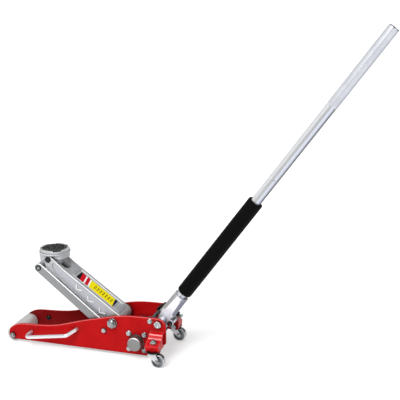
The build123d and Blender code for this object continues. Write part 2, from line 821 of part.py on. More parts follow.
with BuildPart() as base_bolts:
    for side in sides.values():
        for x, z in base_bolt_places:
            rod_y(x, z, base_bolt_radius, side * (plate_inner - base_bolt_depth), side * plate_outer)
            hex_y(x, z, base_bolt_flats, side * plate_outer, side * (plate_outer + base_bolt_head))

with BuildPart() as ram_cylinder:
    rod_on(ram_plane, cylinder_radius, cylinder_front_x, cylinder_end_x)
    rod_on(ram_plane, cylinder_radius - cylinder_wall, cylinder_front_x, cylinder_end_x, Mode.SUBTRACT)

with BuildPart() as gland_nut:
    rod_on(ram_plane, gland_radius, cylinder_front_x - gland_height, cylinder_front_x)
    rod_on(ram_plane, cylinder_radius - cylinder_wall - thread_seat,
           cylinder_front_x, cylinder_front_x + gland_spigot)
    rod_on(ram_plane, ram_radius + running_clearance, cylinder_front_x - gland_height,
           cylinder_front_x + gland_spigot, Mode.SUBTRACT)

crank_low = radians(lift_stroke_down - crank_lead)
ram_return = crank_radius * (sin(radians(crank_lead)) + sin(crank_low))
piston_end_x = cylinder_end_x - ram_end_gap - ram_return
ram_head_end = crank_x + ram_head_length / 2

with BuildPart() as ram:
    with Locations((crank_x, 0, ram_axis_z)):
        Box(ram_head_length, ram_head_width, ram_head_height)
    rod_on(ram_plane, ram_radius, ram_head_end, piston_end_x)
    rod_on(ram_plane, cylinder_radius - cylinder_wall - ram_seal_gap,
           piston_end_x - ram_piston_length, piston_end_x)
    # The slot lets the crank pin rise and fall as the ram pushes it
    slot_radius = crank_pin_radius + open_pivot_clearance
    slot = [((crank_x, ram_axis_z + rise * crank_rise / 2), slot_radius) for rise in (-1, 1)]
    extrude(hull_of(across(0), slot), amount=ram_head_width, both=True, mode=Mode.SUBTRACT)

# Handle socket, hinged between the plates

socket_cheek = socket_cheek_gap / 2
socket_side = socket_low_depth / 2
spring_start_y = socket_side + spring_side_gap + spring_wire / 2
pump_drop = radians(pump_lever_drop)
pump_x = socket_x + pump_lever * cos(pump_drop)
pump_z = socket_pivot_z - pump_lever * sin(pump_drop)
socket_taper = (socket_low_width - socket_top_width) / 2 / (socket_body_end - socket_body_start)


def socket_half(along):
    # Half the socket's width, front to back, at a distance up from its pivot
    return socket_low_width / 2 - (along - socket_body_start) * socket_taper


def on_handle(along, back, y=0):
    # A point given along the handle and square to it
    return Vector(socket_x, y, socket_pivot_z) + handle_along * along + handle_back * back


lock_plane = Plane(origin=on_handle(lock_bolt_along, 0), x_dir=(0, 1, 0), z_dir=handle_back)
lock_face = socket_half(lock_bolt_along - lock_bolt_flats / 2) + thread_seat
cheek_foot = [((socket_x, socket_pivot_z), socket_hub_radius)]
for hand in (-1, 1):
    foot = on_handle(2 * socket_body_start, hand * (socket_low_width / 2 - socket_low_corner))
    cheek_foot.append(((foot.X, foot.Z), socket_low_corner / 2))
cheek_ear = [((socket_x, socket_pivot_z), socket_hub_radius), ((pump_x, pump_z), pump_ear_radius)]

with BuildPart() as handle_socket:
    with BuildSketch(handle_plane.offset(socket_body_start)) as low_end:
        Rectangle(socket_low_width, socket_low_depth)
        chamfer(low_end.vertices(), socket_low_corner)
    with BuildSketch(handle_plane.offset(socket_body_end)) as top_end:
        Rectangle(socket_top_width, socket_top_depth)
        chamfer(top_end.vertices(), socket_top_corner)
    loft()
    rod_on(handle_plane, socket_collar_radius, socket_body_end, socket_end)
    for side in sides.values():
        for outline in (cheek_foot, cheek_ear):
            extrude(hull_of(across(side * socket_cheek), outline),
                    amount=-side * (socket_side - socket_cheek))
        rod_y(socket_x, socket_pivot_z, socket_boss_radius,
              side * socket_cheek, side * (plate_inner - side_clearance))
    rod_y(socket_x, socket_pivot_z, socket_bolt_radius + running_clearance,
          -plate_inner, plate_inner, Mode.SUBTRACT)
    rod_y(pump_x, pump_z, pump_pin_radius + thread_seat, -plate_inner, plate_inner, Mode.SUBTRACT)
    rod_on(handle_plane, handle_radius + running_clearance, handle_seat, socket_end, Mode.SUBTRACT)
    rod_on(handle_plane, socket_throat_radius, 0, handle_seat, Mode.SUBTRACT)
    rod_on(lock_plane, lock_bolt_radius + thread_seat, 0, socket_low_width, Mode.SUBTRACT)
    # A pocket in the front face, in which the spring's hook slides
    with BuildSketch(handle_plane):
        with Locations((-hook_pocket_floor, spring_hook_end_y - side_clearance)):
            Rectangle(socket_low_width, socket_low_depth, align=(Align.MAX, Align.MIN))
    extrude(amount=hook_pocket_top, mode=Mode.SUBTRACT)

with BuildPart() as socket_pivot_bolts:
    for side in sides.values():
        rod_y(socket_x, socket_pivot_z, socket_bolt_radius,
              side * (socket_side + socket_bolt_end_gap), side * plate_outer)
        hex_y(socket_x, socket_pivot_z, socket_bolt_flats,
              side * plate_outer, side * (plate_outer + socket_bolt_head))

lock_head = lock_face + lock_nut_height + lock_bolt_reach - lock_bolt_head

with BuildPart() as lock_bolt:
    rod_on(lock_plane, lock_bolt_radius, handle_radius + side_clearance, lock_head)
    with BuildSketch(lock_plane.offset(lock_head)):
        RegularPolygon(lock_bolt_flats / 2, 6, major_radius=False)
    extrude(amount=lock_bolt_head)

with BuildPart() as lock_nut:
    with BuildSketch(lock_plane.offset(lock_face)):
        RegularPolygon(lock_bolt_flats / 2, 6, major_radius=False)
        Circle(lock_bolt_radius + thread_seat, mode=Mode.SUBTRACT)
    extrude(amount=lock_nut_height)

# Pump roller on its pin, and the plunger that it presses

pump_pin_half = socket_side + pump_pin_overhang
pump_along = Vector(cos(radians(pump_angle)), 0, sin(radians(pump_angle)))
pump_below = Vector(sin(radians(pump_angle)), 0, -cos(radians(pump_angle)))
pump_origin = Vector(pump_x, 0, pump_z) - pump_below * pump_barrel_shift
pump_plane = Plane(origin=pump_origin, x_dir=pump_below, z_dir=pump_along)
plunger_face = -pump_roller_radius - pump_contact_gap
plunger_tip = plunger_face - pump_head_height - pump_plunger_length
plunger_push = pump_lever * radians(pump_stroke_down)

with BuildPart() as pump_roller:
    rod_y(pump_x, pump_z, pump_roller_radius, -pump_roller_length / 2, pump_roller_length / 2)
    rod_y(pump_x, pump_z, pump_pin_radius + running_clearance,
          -pump_roller_length, pump_roller_length, Mode.SUBTRACT)

with BuildPart() as pump_pin:
    rod_y(pump_x, pump_z, pump_pin_radius, -pump_pin_half, pump_pin_half)

with BuildPart() as pump_pin_clips:
    for side in sides.values():
        rod_y(pump_x, pump_z, pump_clip_radius, side * socket_side, side * (socket_side + pump_clip_height))
    rod_y(pump_x, pump_z, pump_pin_radius + thread_seat, -pump_pin_half, pump_pin_half, Mode.SUBTRACT)

with BuildPart() as pump_plunger:
    rod_on(pump_plane, pump_head_radius, plunger_face - pump_head_height, plunger_face)
    rod_on(pump_plane, pump_plunger_radius, plunger_tip, plunger_face - pump_head_height)

with BuildPart() as pump_barrel:
    rod_on(pump_plane, pump_barrel_radius, -base_length - pump_barrel_drop, -pump_barrel_drop)
    split(bisect_by=Plane(origin=(base_rear_x, 0, 0), z_dir=(1, 0, 0)), keep=Keep.TOP)
    rod_on(pump_plane, pump_plunger_radius + running_clearance,
           plunger_tip - plunger_push - side_clearance, -pump_barrel_drop, Mode.SUBTRACT)

# Release valve, turned by twisting the handle through two forks that meet at the socket's pivot


def add_fork(plane, hand, turn):
    # A hub with two prongs, above the pivot for hand 1 and below it for hand -1
    rod_on(plane, fork_radius, hand * fork_root, hand * (fork_root + fork_hub_length))
    with BuildSketch(plane.offset(-hand * fork_reach)) as prongs:
        with Locations(Location((0, 0, 0), (0, 0, turn))):
            with Locations((0, fork_radius - fork_thickness / 2), (0, fork_thickness / 2 - fork_radius)):
                Rectangle(fork_width, fork_thickness)
        Circle(fork_radius, mode=Mode.INTERSECT)
    extrude(prongs.sketch, amount=hand * (fork_root + fork_reach))


with BuildPart() as release_valve:
    add_fork(valve_plane, -1, 0)
    rod_on(valve_plane, valve_stem_radius, valve_tip, -fork_root - fork_hub_length)

handle_bore = handle_radius - handle_wall
fork_plug_start = handle_seat + side_clearance

with BuildPart() as release_fork:
    add_fork(handle_plane, 1, 90)
    rod_on(handle_plane, fork_radius, fork_root, fork_plug_start)
    rod_on(handle_plane, handle_bore - thread_seat, fork_plug_start, fork_plug_start + handle_bore)

# Two-piece handle with its foam grip

spigot_radius = handle_bore - handle_spigot_gap
button_plane = Plane(origin=on_handle(handle_split - button_from_split, 0), x_dir=handle_along,
                     z_dir=(0, 1, 0))

with BuildPart() as handle_lower_tube:
    rod_on(handle_plane, handle_radius, handle_seat, handle_split)
    rod_on(handle_plane, handle_bore, handle_seat, handle_split, Mode.SUBTRACT)
    rod_on(button_plane, button_radius + running_clearance, 0, handle_radius + button_reach, Mode.SUBTRACT)

with BuildPart() as handle_upper_tube:
    rod_on(handle_plane, handle_radius, handle_split, handle_length)
    rod_on(handle_plane, handle_bore, handle_split + handle_radius, handle_length, Mode.SUBTRACT)
    rod_on(handle_plane, spigot_radius, handle_split - handle_spigot_length, handle_split)
    rod_on(handle_plane, spigot_radius - handle_wall, handle_split - handle_spigot_length,
           handle_split + handle_radius, Mode.SUBTRACT)
    rod_on(button_plane, button_radius + thread_seat, 0, handle_radius, Mode.SUBTRACT)

with BuildPart() as snap_button:
    rod_on(button_plane, button_radius, spigot_radius - handle_wall, handle_radius + button_reach)

with BuildPart() as foam_grip:
    rod_on(handle_plane, grip_radius, grip_start, grip_end)
    fillet(foam_grip.edges().filter_by(GeomType.CIRCLE), grip_round)
    rod_on(handle_plane, handle_radius + thread_seat, grip_start, grip_end, Mode.SUBTRACT)

# Cross rod between the plates, with the spring that lifts the handle wound round it

cross_x, cross_z = at(cross_rod_back, cross_rod_z)

with BuildPart() as cross_rod:
    rod_y(cross_x, cross_z, cross_rod_radius, -plate_inner, plate_inner)
    for side in sides.values():
        rod_y(cross_x, cross_z, cross_rod_bolt_radius + thread_seat,
              side * (plate_inner - cross_rod_bolt_depth), side * plate_inner, Mode.SUBTRACT)

with BuildPart() as cross_rod_bolts:
    for side in sides.values():
        rod_y(cross_x, cross_z, cross_rod_bolt_radius,
              side * (plate_inner - cross_rod_bolt_depth), side * plate_outer)
        hex_y(cross_x, cross_z, cross_rod_bolt_flats,
              side * plate_outer, side * (plate_outer + cross_rod_bolt_head))

spring_radius = cross_rod_radius + spring_seat_gap + spring_wire / 2
spring_pitch = spring_wire + spring_turn_gap
hook = on_handle(spring_hook_along, -socket_half(spring_hook_along) - spring_seat_gap - spring_wire / 2)
hook_run = hypot(hook.X - cross_x, hook.Z - cross_z)
leg_angle = atan2(hook.Z - cross_z, hook.X - cross_x) - asin(spring_radius / hook_run)
leg_along = Vector(cos(leg_angle), 0, sin(leg_angle))


def coil_point(turn):
    # A point of the coil, counted in turns back from where the leg leaves it
    angle = leg_angle + pi / 2 + 2 * pi * turn
    return Vector(cross_x + spring_radius * cos(angle), spring_start_y + spring_pitch * turn,
                  cross_z + spring_radius * sin(angle))


def coil_tangent(turn):
    # The way the wire runs there, towards the leg
    angle = leg_angle + pi / 2 + 2 * pi * turn
    run = 2 * pi * spring_radius
    return Vector(run * sin(angle), -spring_pitch, -run * cos(angle)).normalized()


def biarc(start, start_way, end, end_way):
    # Two arcs that join a point to the next and keep the direction at both
    chord = end - start
    bend = 1 - start_way.dot(end_way)
    lean = chord.dot(start_way + end_way)
    reach = (sqrt(lean * lean + 2 * bend * chord.dot(chord)) - lean) / (2 * bend)
    near = start + start_way * reach
    far = end - end_way * reach
    middle = (near + far) / 2
    return [Edge.make_tangent_arc(start, start_way, middle),
            Edge.make_tangent_arc(middle, (far - near).normalized(), end)]


def spring_path():
    # Tail, coil in quarter turns, leg, and the hook that lies across the socket
    steps = spring_arcs_per_turn * spring_turns
    turns = [spring_turns - index / spring_arcs_per_turn for index in range(steps + 1)]
    first, last = coil_point(turns[0]), coil_point(0)
    edges = [Edge.make_line(first - coil_tangent(turns[0]) * spring_tail, first)]
    for here, there in zip(turns, turns[1:]):
        way = leg_along if there == 0 else coil_tangent(there)
        edges += biarc(coil_point(here), coil_tangent(here), coil_point(there), way)
    corner = Vector(hook.X, last.Y, hook.Z)
    bend_start = corner - leg_along * spring_hook_round
    bend_end = corner - Vector(0, spring_hook_round, 0)
    edges.append(Edge.make_line(last, bend_start))
    edges.append(Edge.make_tangent_arc(bend_start, leg_along, bend_end))
    edges.append(Edge.make_line(bend_end, Vector(hook.X, spring_hook_end_y, hook.Z)))
    return Wire(edges)


with BuildPart() as handle_spring:
    spring_wire_path = spring_path()
    with BuildSketch(Plane(spring_wire_path @ 0, z_dir=spring_wire_path % 0)):
        Circle(spring_wire / 2)
    sweep(path=spring_wire_path)


def least_self_gap(path, wire, samples):
    # The narrowest space between stretches of one wire, measured on points
    points = [path @ (index / samples) for index in range(samples + 1)]
    apart = int(samples * pi * wire / path.length)
    gaps = [(points[i] - points[j]).length for i in range(samples) for j in range(i + apart, samples)]
    return min(gaps) - wire


spring_gap = least_self_gap(spring_wire_path, spring_wire, spring_samples)
print("handle spring least gap to itself", round(spring_gap, 2))

# Caster brackets, and a caster under each

caster_x = front_axle_x + caster_back
caster_half_track = plate_outer + caster_outboard
bracket_slope = (caster_bracket_step2_z - caster_bracket_lip_z) \
    / (caster_bracket_lip_out - caster_bracket_step2_out)
kingpin_pad_z = caster_bracket_step2_z - (caster_outboard - caster_bracket_step2_out) * bracket_slope
kingpin_nut_z = kingpin_pad_z + kingpin_nut_height
caster_bolt_places = [at(caster_bolt_fore_back, caster_bolt_fore_z),
                      at(caster_bolt_aft_back, caster_bolt_aft_z)]


def upright(y, radius, z_from, z_to, mode=Mode.ADD):
    # An upright disc or hole on a caster's swivel axis
    with Locations((caster_x, y, (z_from + z_to) / 2)):
        Cylinder(radius, abs(z_to - z_from), mode=mode)


def make_caster_bracket(side):
    outline = [(0, caster_bracket_top), (caster_bracket_step1_out, caster_bracket_step1_z),
               (caster_bracket_step2_out, caster_bracket_step2_z),
               (caster_bracket_lip_out, caster_bracket_lip_z),
               (caster_bracket_toe_out, caster_bracket_bottom), (0, caster_bracket_bottom)]
    points = [(side * (plate_outer + out), z) for out, z in outline]
    with BuildPart() as bracket:
        with BuildSketch(Plane.YZ.offset(front_axle_x + bracket_start_back)):
            with BuildLine():
                Polyline(*points, close=True)
            make_face()
        extrude(amount=bracket_end_back - bracket_start_back)
        y = side * caster_half_track
        upright(y, caster_bracket_pad_radius, caster_bracket_bottom, kingpin_pad_z)
        upright(y, caster_bracket_pad_radius, kingpin_pad_z, caster_bracket_top, Mode.SUBTRACT)
        upright(y, kingpin_radius + thread_seat, caster_bracket_bottom, kingpin_pad_z, Mode.SUBTRACT)
        for x, z in caster_bolt_places:
            rod_y(x, z, caster_bolt_radius + thread_seat, side * plate_outer,
                  side * (plate_outer + caster_bolt_depth), Mode.SUBTRACT)
    return bracket


caster_bracket_left = make_caster_bracket(sides["left"])
caster_bracket_right = make_caster_bracket(sides["right"])

with BuildPart() as caster_bracket_bolts:
    for side in sides.values():
        for x, z in caster_bolt_places:
            rod_y(x, z, caster_bolt_radius, side * plate_inner, side * (plate_outer + caster_bolt_depth))
            hex_y(x, z, caster_bolt_flats, side * (plate_inner - caster_bolt_head), side * plate_inner)

fork_low_z = caster_fork_top - fork_sheet
fork_half = wheel_width / 2 + fork_gap
wheel_x = caster_x + caster_trail
flange_top_z = fork_low_z - running_clearance

with BuildPart() as caster_races:
    for side in sides.values():
        y = side * caster_half_track
        upright(y, caster_race_radius, caster_fork_top + caster_race_gap, caster_bracket_bottom)
        upright(y, kingpin_radius + thread_seat, caster_fork_top, caster_bracket_bottom, Mode.SUBTRACT)

with BuildPart() as caster_kingpins:
    for side in sides.values():
        y = side * caster_half_track
        upright(y, kingpin_radius, flange_top_z, kingpin_nut_z + kingpin_overhang)
        upright(y, kingpin_flange_radius, flange_top_z - kingpin_flange_height, flange_top_z)

with BuildPart() as caster_nuts:
    for side in sides.values():
        with BuildSketch(Plane.XY.offset(kingpin_pad_z)) as nut:
            with Locations((caster_x, side * caster_half_track)):
                RegularPolygon(kingpin_nut_flats / 2, 6, major_radius=False)
                Circle(kingpin_radius + thread_seat, mode=Mode.SUBTRACT)
        extrude(nut.sketch, amount=kingpin_nut_height)


def make_caster_fork(side):
    y = side * caster_half_track
    leg_top = fork_low_z - caster_leg_width / 2 + fork_sheet
    leg = [((caster_x - caster_leg_width / 2, leg_top), caster_leg_width / 2),
           ((caster_x + caster_leg_width / 2, leg_top), caster_leg_width / 2),
           ((wheel_x, wheel_radius), caster_leg_width / 2)]
    with BuildPart() as fork:
        upright(y, caster_fork_plate_radius, fork_low_z, caster_fork_top)
        for hand in (-1, 1):
            extrude(hull_of(across(y + hand * fork_half), leg), amount=-hand * fork_sheet)
            rod_y(wheel_x, wheel_radius, wheel_axle_radius + thread_seat,
                  y, y + hand * (fork_half + fork_sheet), Mode.SUBTRACT)
        upright(y, kingpin_radius + running_clearance, fork_low_z, caster_fork_top, Mode.SUBTRACT)
    return fork


def make_caster_axle(side):
    y = side * caster_half_track
    reach = fork_half + fork_sheet + wheel_axle_overhang
    with BuildPart() as axle:
        rod_y(wheel_x, wheel_radius, wheel_axle_radius, y - reach, y + reach)
    return axle


def make_caster_wheel(side):
    y = side * caster_half_track
    with BuildPart() as wheel:
        rod_y(wheel_x, wheel_radius, wheel_radius, y - wheel_width / 2, y + wheel_width / 2)
        for hand in (-1, 1):
            face = y + hand * wheel_width / 2
            floor = y + hand * wheel_web / 2
            rod_y(wheel_x, wheel_radius, wheel_radius - wheel_rim, floor, face, Mode.SUBTRACT)
            rod_y(wheel_x, wheel_radius, wheel_hub_radius, floor, face)
        rod_y(wheel_x, wheel_radius, wheel_axle_radius + running_clearance,
              y - wheel_width / 2, y + wheel_width / 2, Mode.SUBTRACT)
    return wheel


caster_fork_left = make_caster_fork(sides["left"])
caster_fork_right = make_caster_fork(sides["right"])
caster_axle_left = make_caster_axle(sides["left"])
caster_axle_right = make_caster_axle(sides["right"])
caster_wheel_left = make_caster_wheel(sides["left"])
caster_wheel_right = make_caster_wheel(sides["right"])

pieces = {
    "side_plate_left": side_plate_left,
    "side_plate_right": side_plate_right,
    "front_roller": front_roller,
    "front_axle": front_axle,
    "front_axle_nuts": front_axle_nuts,
    "carry_handle_left": carry_handle_left,
    "carry_handle_right": carry_handle_right,
    "carry_handle_nuts": carry_handle_nuts,
    "lift_arm": lift_arm,
    "arm_bushes": arm_bushes,
    "lift_pivot_shaft": lift_pivot_shaft,
    "lift_pivot_nuts": lift_pivot_nuts,
    "crank_pin": crank_pin,
    "saddle_pivot_pins": saddle_pivot_pins,
    "link_left": link_left,
    "link_right": link_right,
    "link_pivot_pins": link_pivot_pins,
    "link_spacers": link_spacers,
    "link_pivot_nuts": link_pivot_nuts,
    "saddle_bracket": saddle_bracket,
    "saddle_link_pin": saddle_link_pin,
    "saddle_link_caps": saddle_link_caps,
    "saddle": saddle,
    "saddle_pad": saddle_pad,
    "saddle_ring": saddle_ring,
    "hydraulic_base": hydraulic_base,
    "base_bolts": base_bolts,
    "ram_cylinder": ram_cylinder,
    "gland_nut": gland_nut,
    "ram": ram,
    "handle_socket": handle_socket,
    "socket_pivot_bolts": socket_pivot_bolts,
    "lock_bolt": lock_bolt,
    "lock_nut": lock_nut,
    "pump_roller": pump_roller,
    "pump_pin": pump_pin,
    "pump_pin_clips": pump_pin_clips,
    "pump_plunger": pump_plunger,
    "pump_barrel": pump_barrel,
    "release_valve": release_valve,
    "release_fork": release_fork,
    "handle_lower_tube": handle_lower_tube,
    "handle_upper_tube": handle_upper_tube,
    "snap_button": snap_button,
    "foam_grip": foam_grip,
    "cross_rod": cross_rod,
    "cross_rod_bolts": cross_rod_bolts,
    "handle_spring": handle_spring,
    "caster_bracket_left": caster_bracket_left,
    "caster_bracket_right": caster_bracket_right,
    "caster_bracket_bolts": caster_bracket_bolts,
    "caster_races": caster_races,
    "caster_kingpins": caster_kingpins,
    "caster_nuts": caster_nuts,
    "caster_fork_left": caster_fork_left,
    "caster_fork_right": caster_fork_right,
    "caster_axle_left": caster_axle_left,
    "caster_axle_right": caster_axle_right,
    "caster_wheel_left": caster_wheel_left,
    "caster_wheel_right": caster_wheel_right,
}

for label, piece in pieces.items():
    piece.part.label = label
    export_step(piece.part, f"parts/{label}.step")
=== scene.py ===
"""A low trolley jack with a red frame and a silver arm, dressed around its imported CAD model."""
import json
import logging
import math
from dataclasses import dataclass
from enum import Enum
from itertools import pairwise
from typing import Callable, Dict, List, Sequence, Tuple, Union

import bpy
from mathutils import Matrix, Vector


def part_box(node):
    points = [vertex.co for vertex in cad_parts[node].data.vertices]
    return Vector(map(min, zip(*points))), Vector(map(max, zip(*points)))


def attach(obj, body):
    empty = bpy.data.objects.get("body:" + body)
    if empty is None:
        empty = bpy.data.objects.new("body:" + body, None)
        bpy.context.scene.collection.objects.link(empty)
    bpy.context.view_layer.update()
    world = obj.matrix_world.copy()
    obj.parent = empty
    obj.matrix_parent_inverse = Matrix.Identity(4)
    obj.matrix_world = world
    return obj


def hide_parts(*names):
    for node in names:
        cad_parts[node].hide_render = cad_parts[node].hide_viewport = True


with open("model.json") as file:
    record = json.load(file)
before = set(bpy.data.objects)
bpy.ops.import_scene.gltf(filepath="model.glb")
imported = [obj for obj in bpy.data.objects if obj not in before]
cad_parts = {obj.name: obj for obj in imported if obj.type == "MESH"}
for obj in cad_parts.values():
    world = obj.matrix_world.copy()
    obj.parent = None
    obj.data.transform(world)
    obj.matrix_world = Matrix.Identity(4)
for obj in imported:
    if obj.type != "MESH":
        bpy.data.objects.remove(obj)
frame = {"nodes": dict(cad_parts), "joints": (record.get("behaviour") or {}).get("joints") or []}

log = logging.getLogger("jack")

MM = 0.001
SIDES = {"left": -1.0, "right": 1.0}
ACROSS = (0.0, 1.0, 0.0)
UP = (0.0, 0.0, 1.0)
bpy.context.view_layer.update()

Area = Tuple[float, float, float, float]
Colour = Tuple[float, float, float, float]
Triple = Tuple[float, float, float]
Steps = List[Tuple[float, float]]
Piece = bpy.types.Object
Node = bpy.types.Node
Tree = bpy.types.NodeTree
Link = Union[bpy.types.Node, bpy.types.NodeSocket]
Mark = Tuple[Link, Colour]
Inputs = Union[dict, Sequence]


def srgb(code: str) -> Colour:
    """Turn an sRGB hex colour into the linear values that a shader takes.

    Args:
        code: six hex digits, as in "c4161b".

    Returns:
        Linear red, green, blue and an alpha of one.
    """
    values = [int(code[i:i + 2], 16) / 255 for i in (0, 2, 4)]
    linear = [v / 12.92 if v <= 0.04045 else ((v + 0.055) / 1.055) ** 2.4 for v in values]
    return linear[0], linear[1], linear[2], 1.0


def grey(value: float) -> Colour:
    """Give a neutral linear colour."""
    return value, value, value, 1.0


def feed(tree: Tree, node: Node, inputs: Inputs) -> None:
    """Set or link the inputs of a node.

    Args:
        tree: the node tree that holds the node.
        node: the node to feed.
        inputs: values, output sockets or nodes, in order or by the input's name or number. A node stands for
            its first output that is switched on.
    """
    for key, value in inputs.items() if isinstance(inputs, dict) else enumerate(inputs):
        if isinstance(value, bpy.types.Node):
            value = next(socket for socket in value.outputs if socket.enabled)
        if isinstance(value, bpy.types.NodeSocket):
            tree.links.new(value, node.inputs[key])
        else:
            node.inputs[key].default_value = value


def add_node(tree: Tree, kind: str, inputs: Inputs = (), stops: Sequence[Tuple[float, Colour]] = (),
             **settings) -> Node:
    """Add a node, set its properties, and set or link its inputs.

    Args:
        tree: the node tree that takes the node.
        kind: the node's type name, without the leading ShaderNode.
        inputs: what feeds its inputs.
        stops: a colour ramp's places from 0 to 1, each with its colour.
        settings: properties of the node, or of its colour ramp where it has stops.

    Returns:
        The new node.
    """
    node = tree.nodes.new("ShaderNode" + kind)
    holder = node.color_ramp if stops else node
    for name, value in settings.items():
        setattr(holder, name, value)
    for _ in stops[2:]:
        holder.elements.new(1.0)
    for index, stop in enumerate(stops):
        holder.elements[index].position, holder.elements[index].color = stop
    feed(tree, node, inputs)
    return node


# Finishes

# A Mix node's sockets for two colours
SHARE, UNDER, OVER = 0, 6, 7
# Cosine between an edge's rounded normal and its face's, where wear and painted highlight start and where they are
# full
EDGE_WEAR_AND_HIGHLIGHT = (0.99, 0.80)
# How far a slanted rim faces to the side, and by how much that may differ
RIM_SLANT = (0.707, 0.12)
# How far a face looks up where the wear and painted highlight start and where they are full, and the same for the
# painted highlight on level tops
LOOKS_UP = (0.25, 0.55)
LIES_LEVEL = (0.90, 0.97)
# The part of its range that a fine pattern fills
PATTERN_SPAN = (0.3, 0.7)
# The size of slow changes of tone, in millimetres, and where the second and the main tone stand in the pattern
BROAD = 40.0
TONE_STOPS = (0.12, 0.38)
# How far the painted shade in recesses covers a surface, its colour, and the share of the open light at which it is
# full
SHADE_COVER = 0.88
SHADE_COLOUR = grey(0.002)
SHADE_FULL = 0.45
# The distance between two rings of a Wave texture at a scale of one
WAVE_RINGS = 0.314


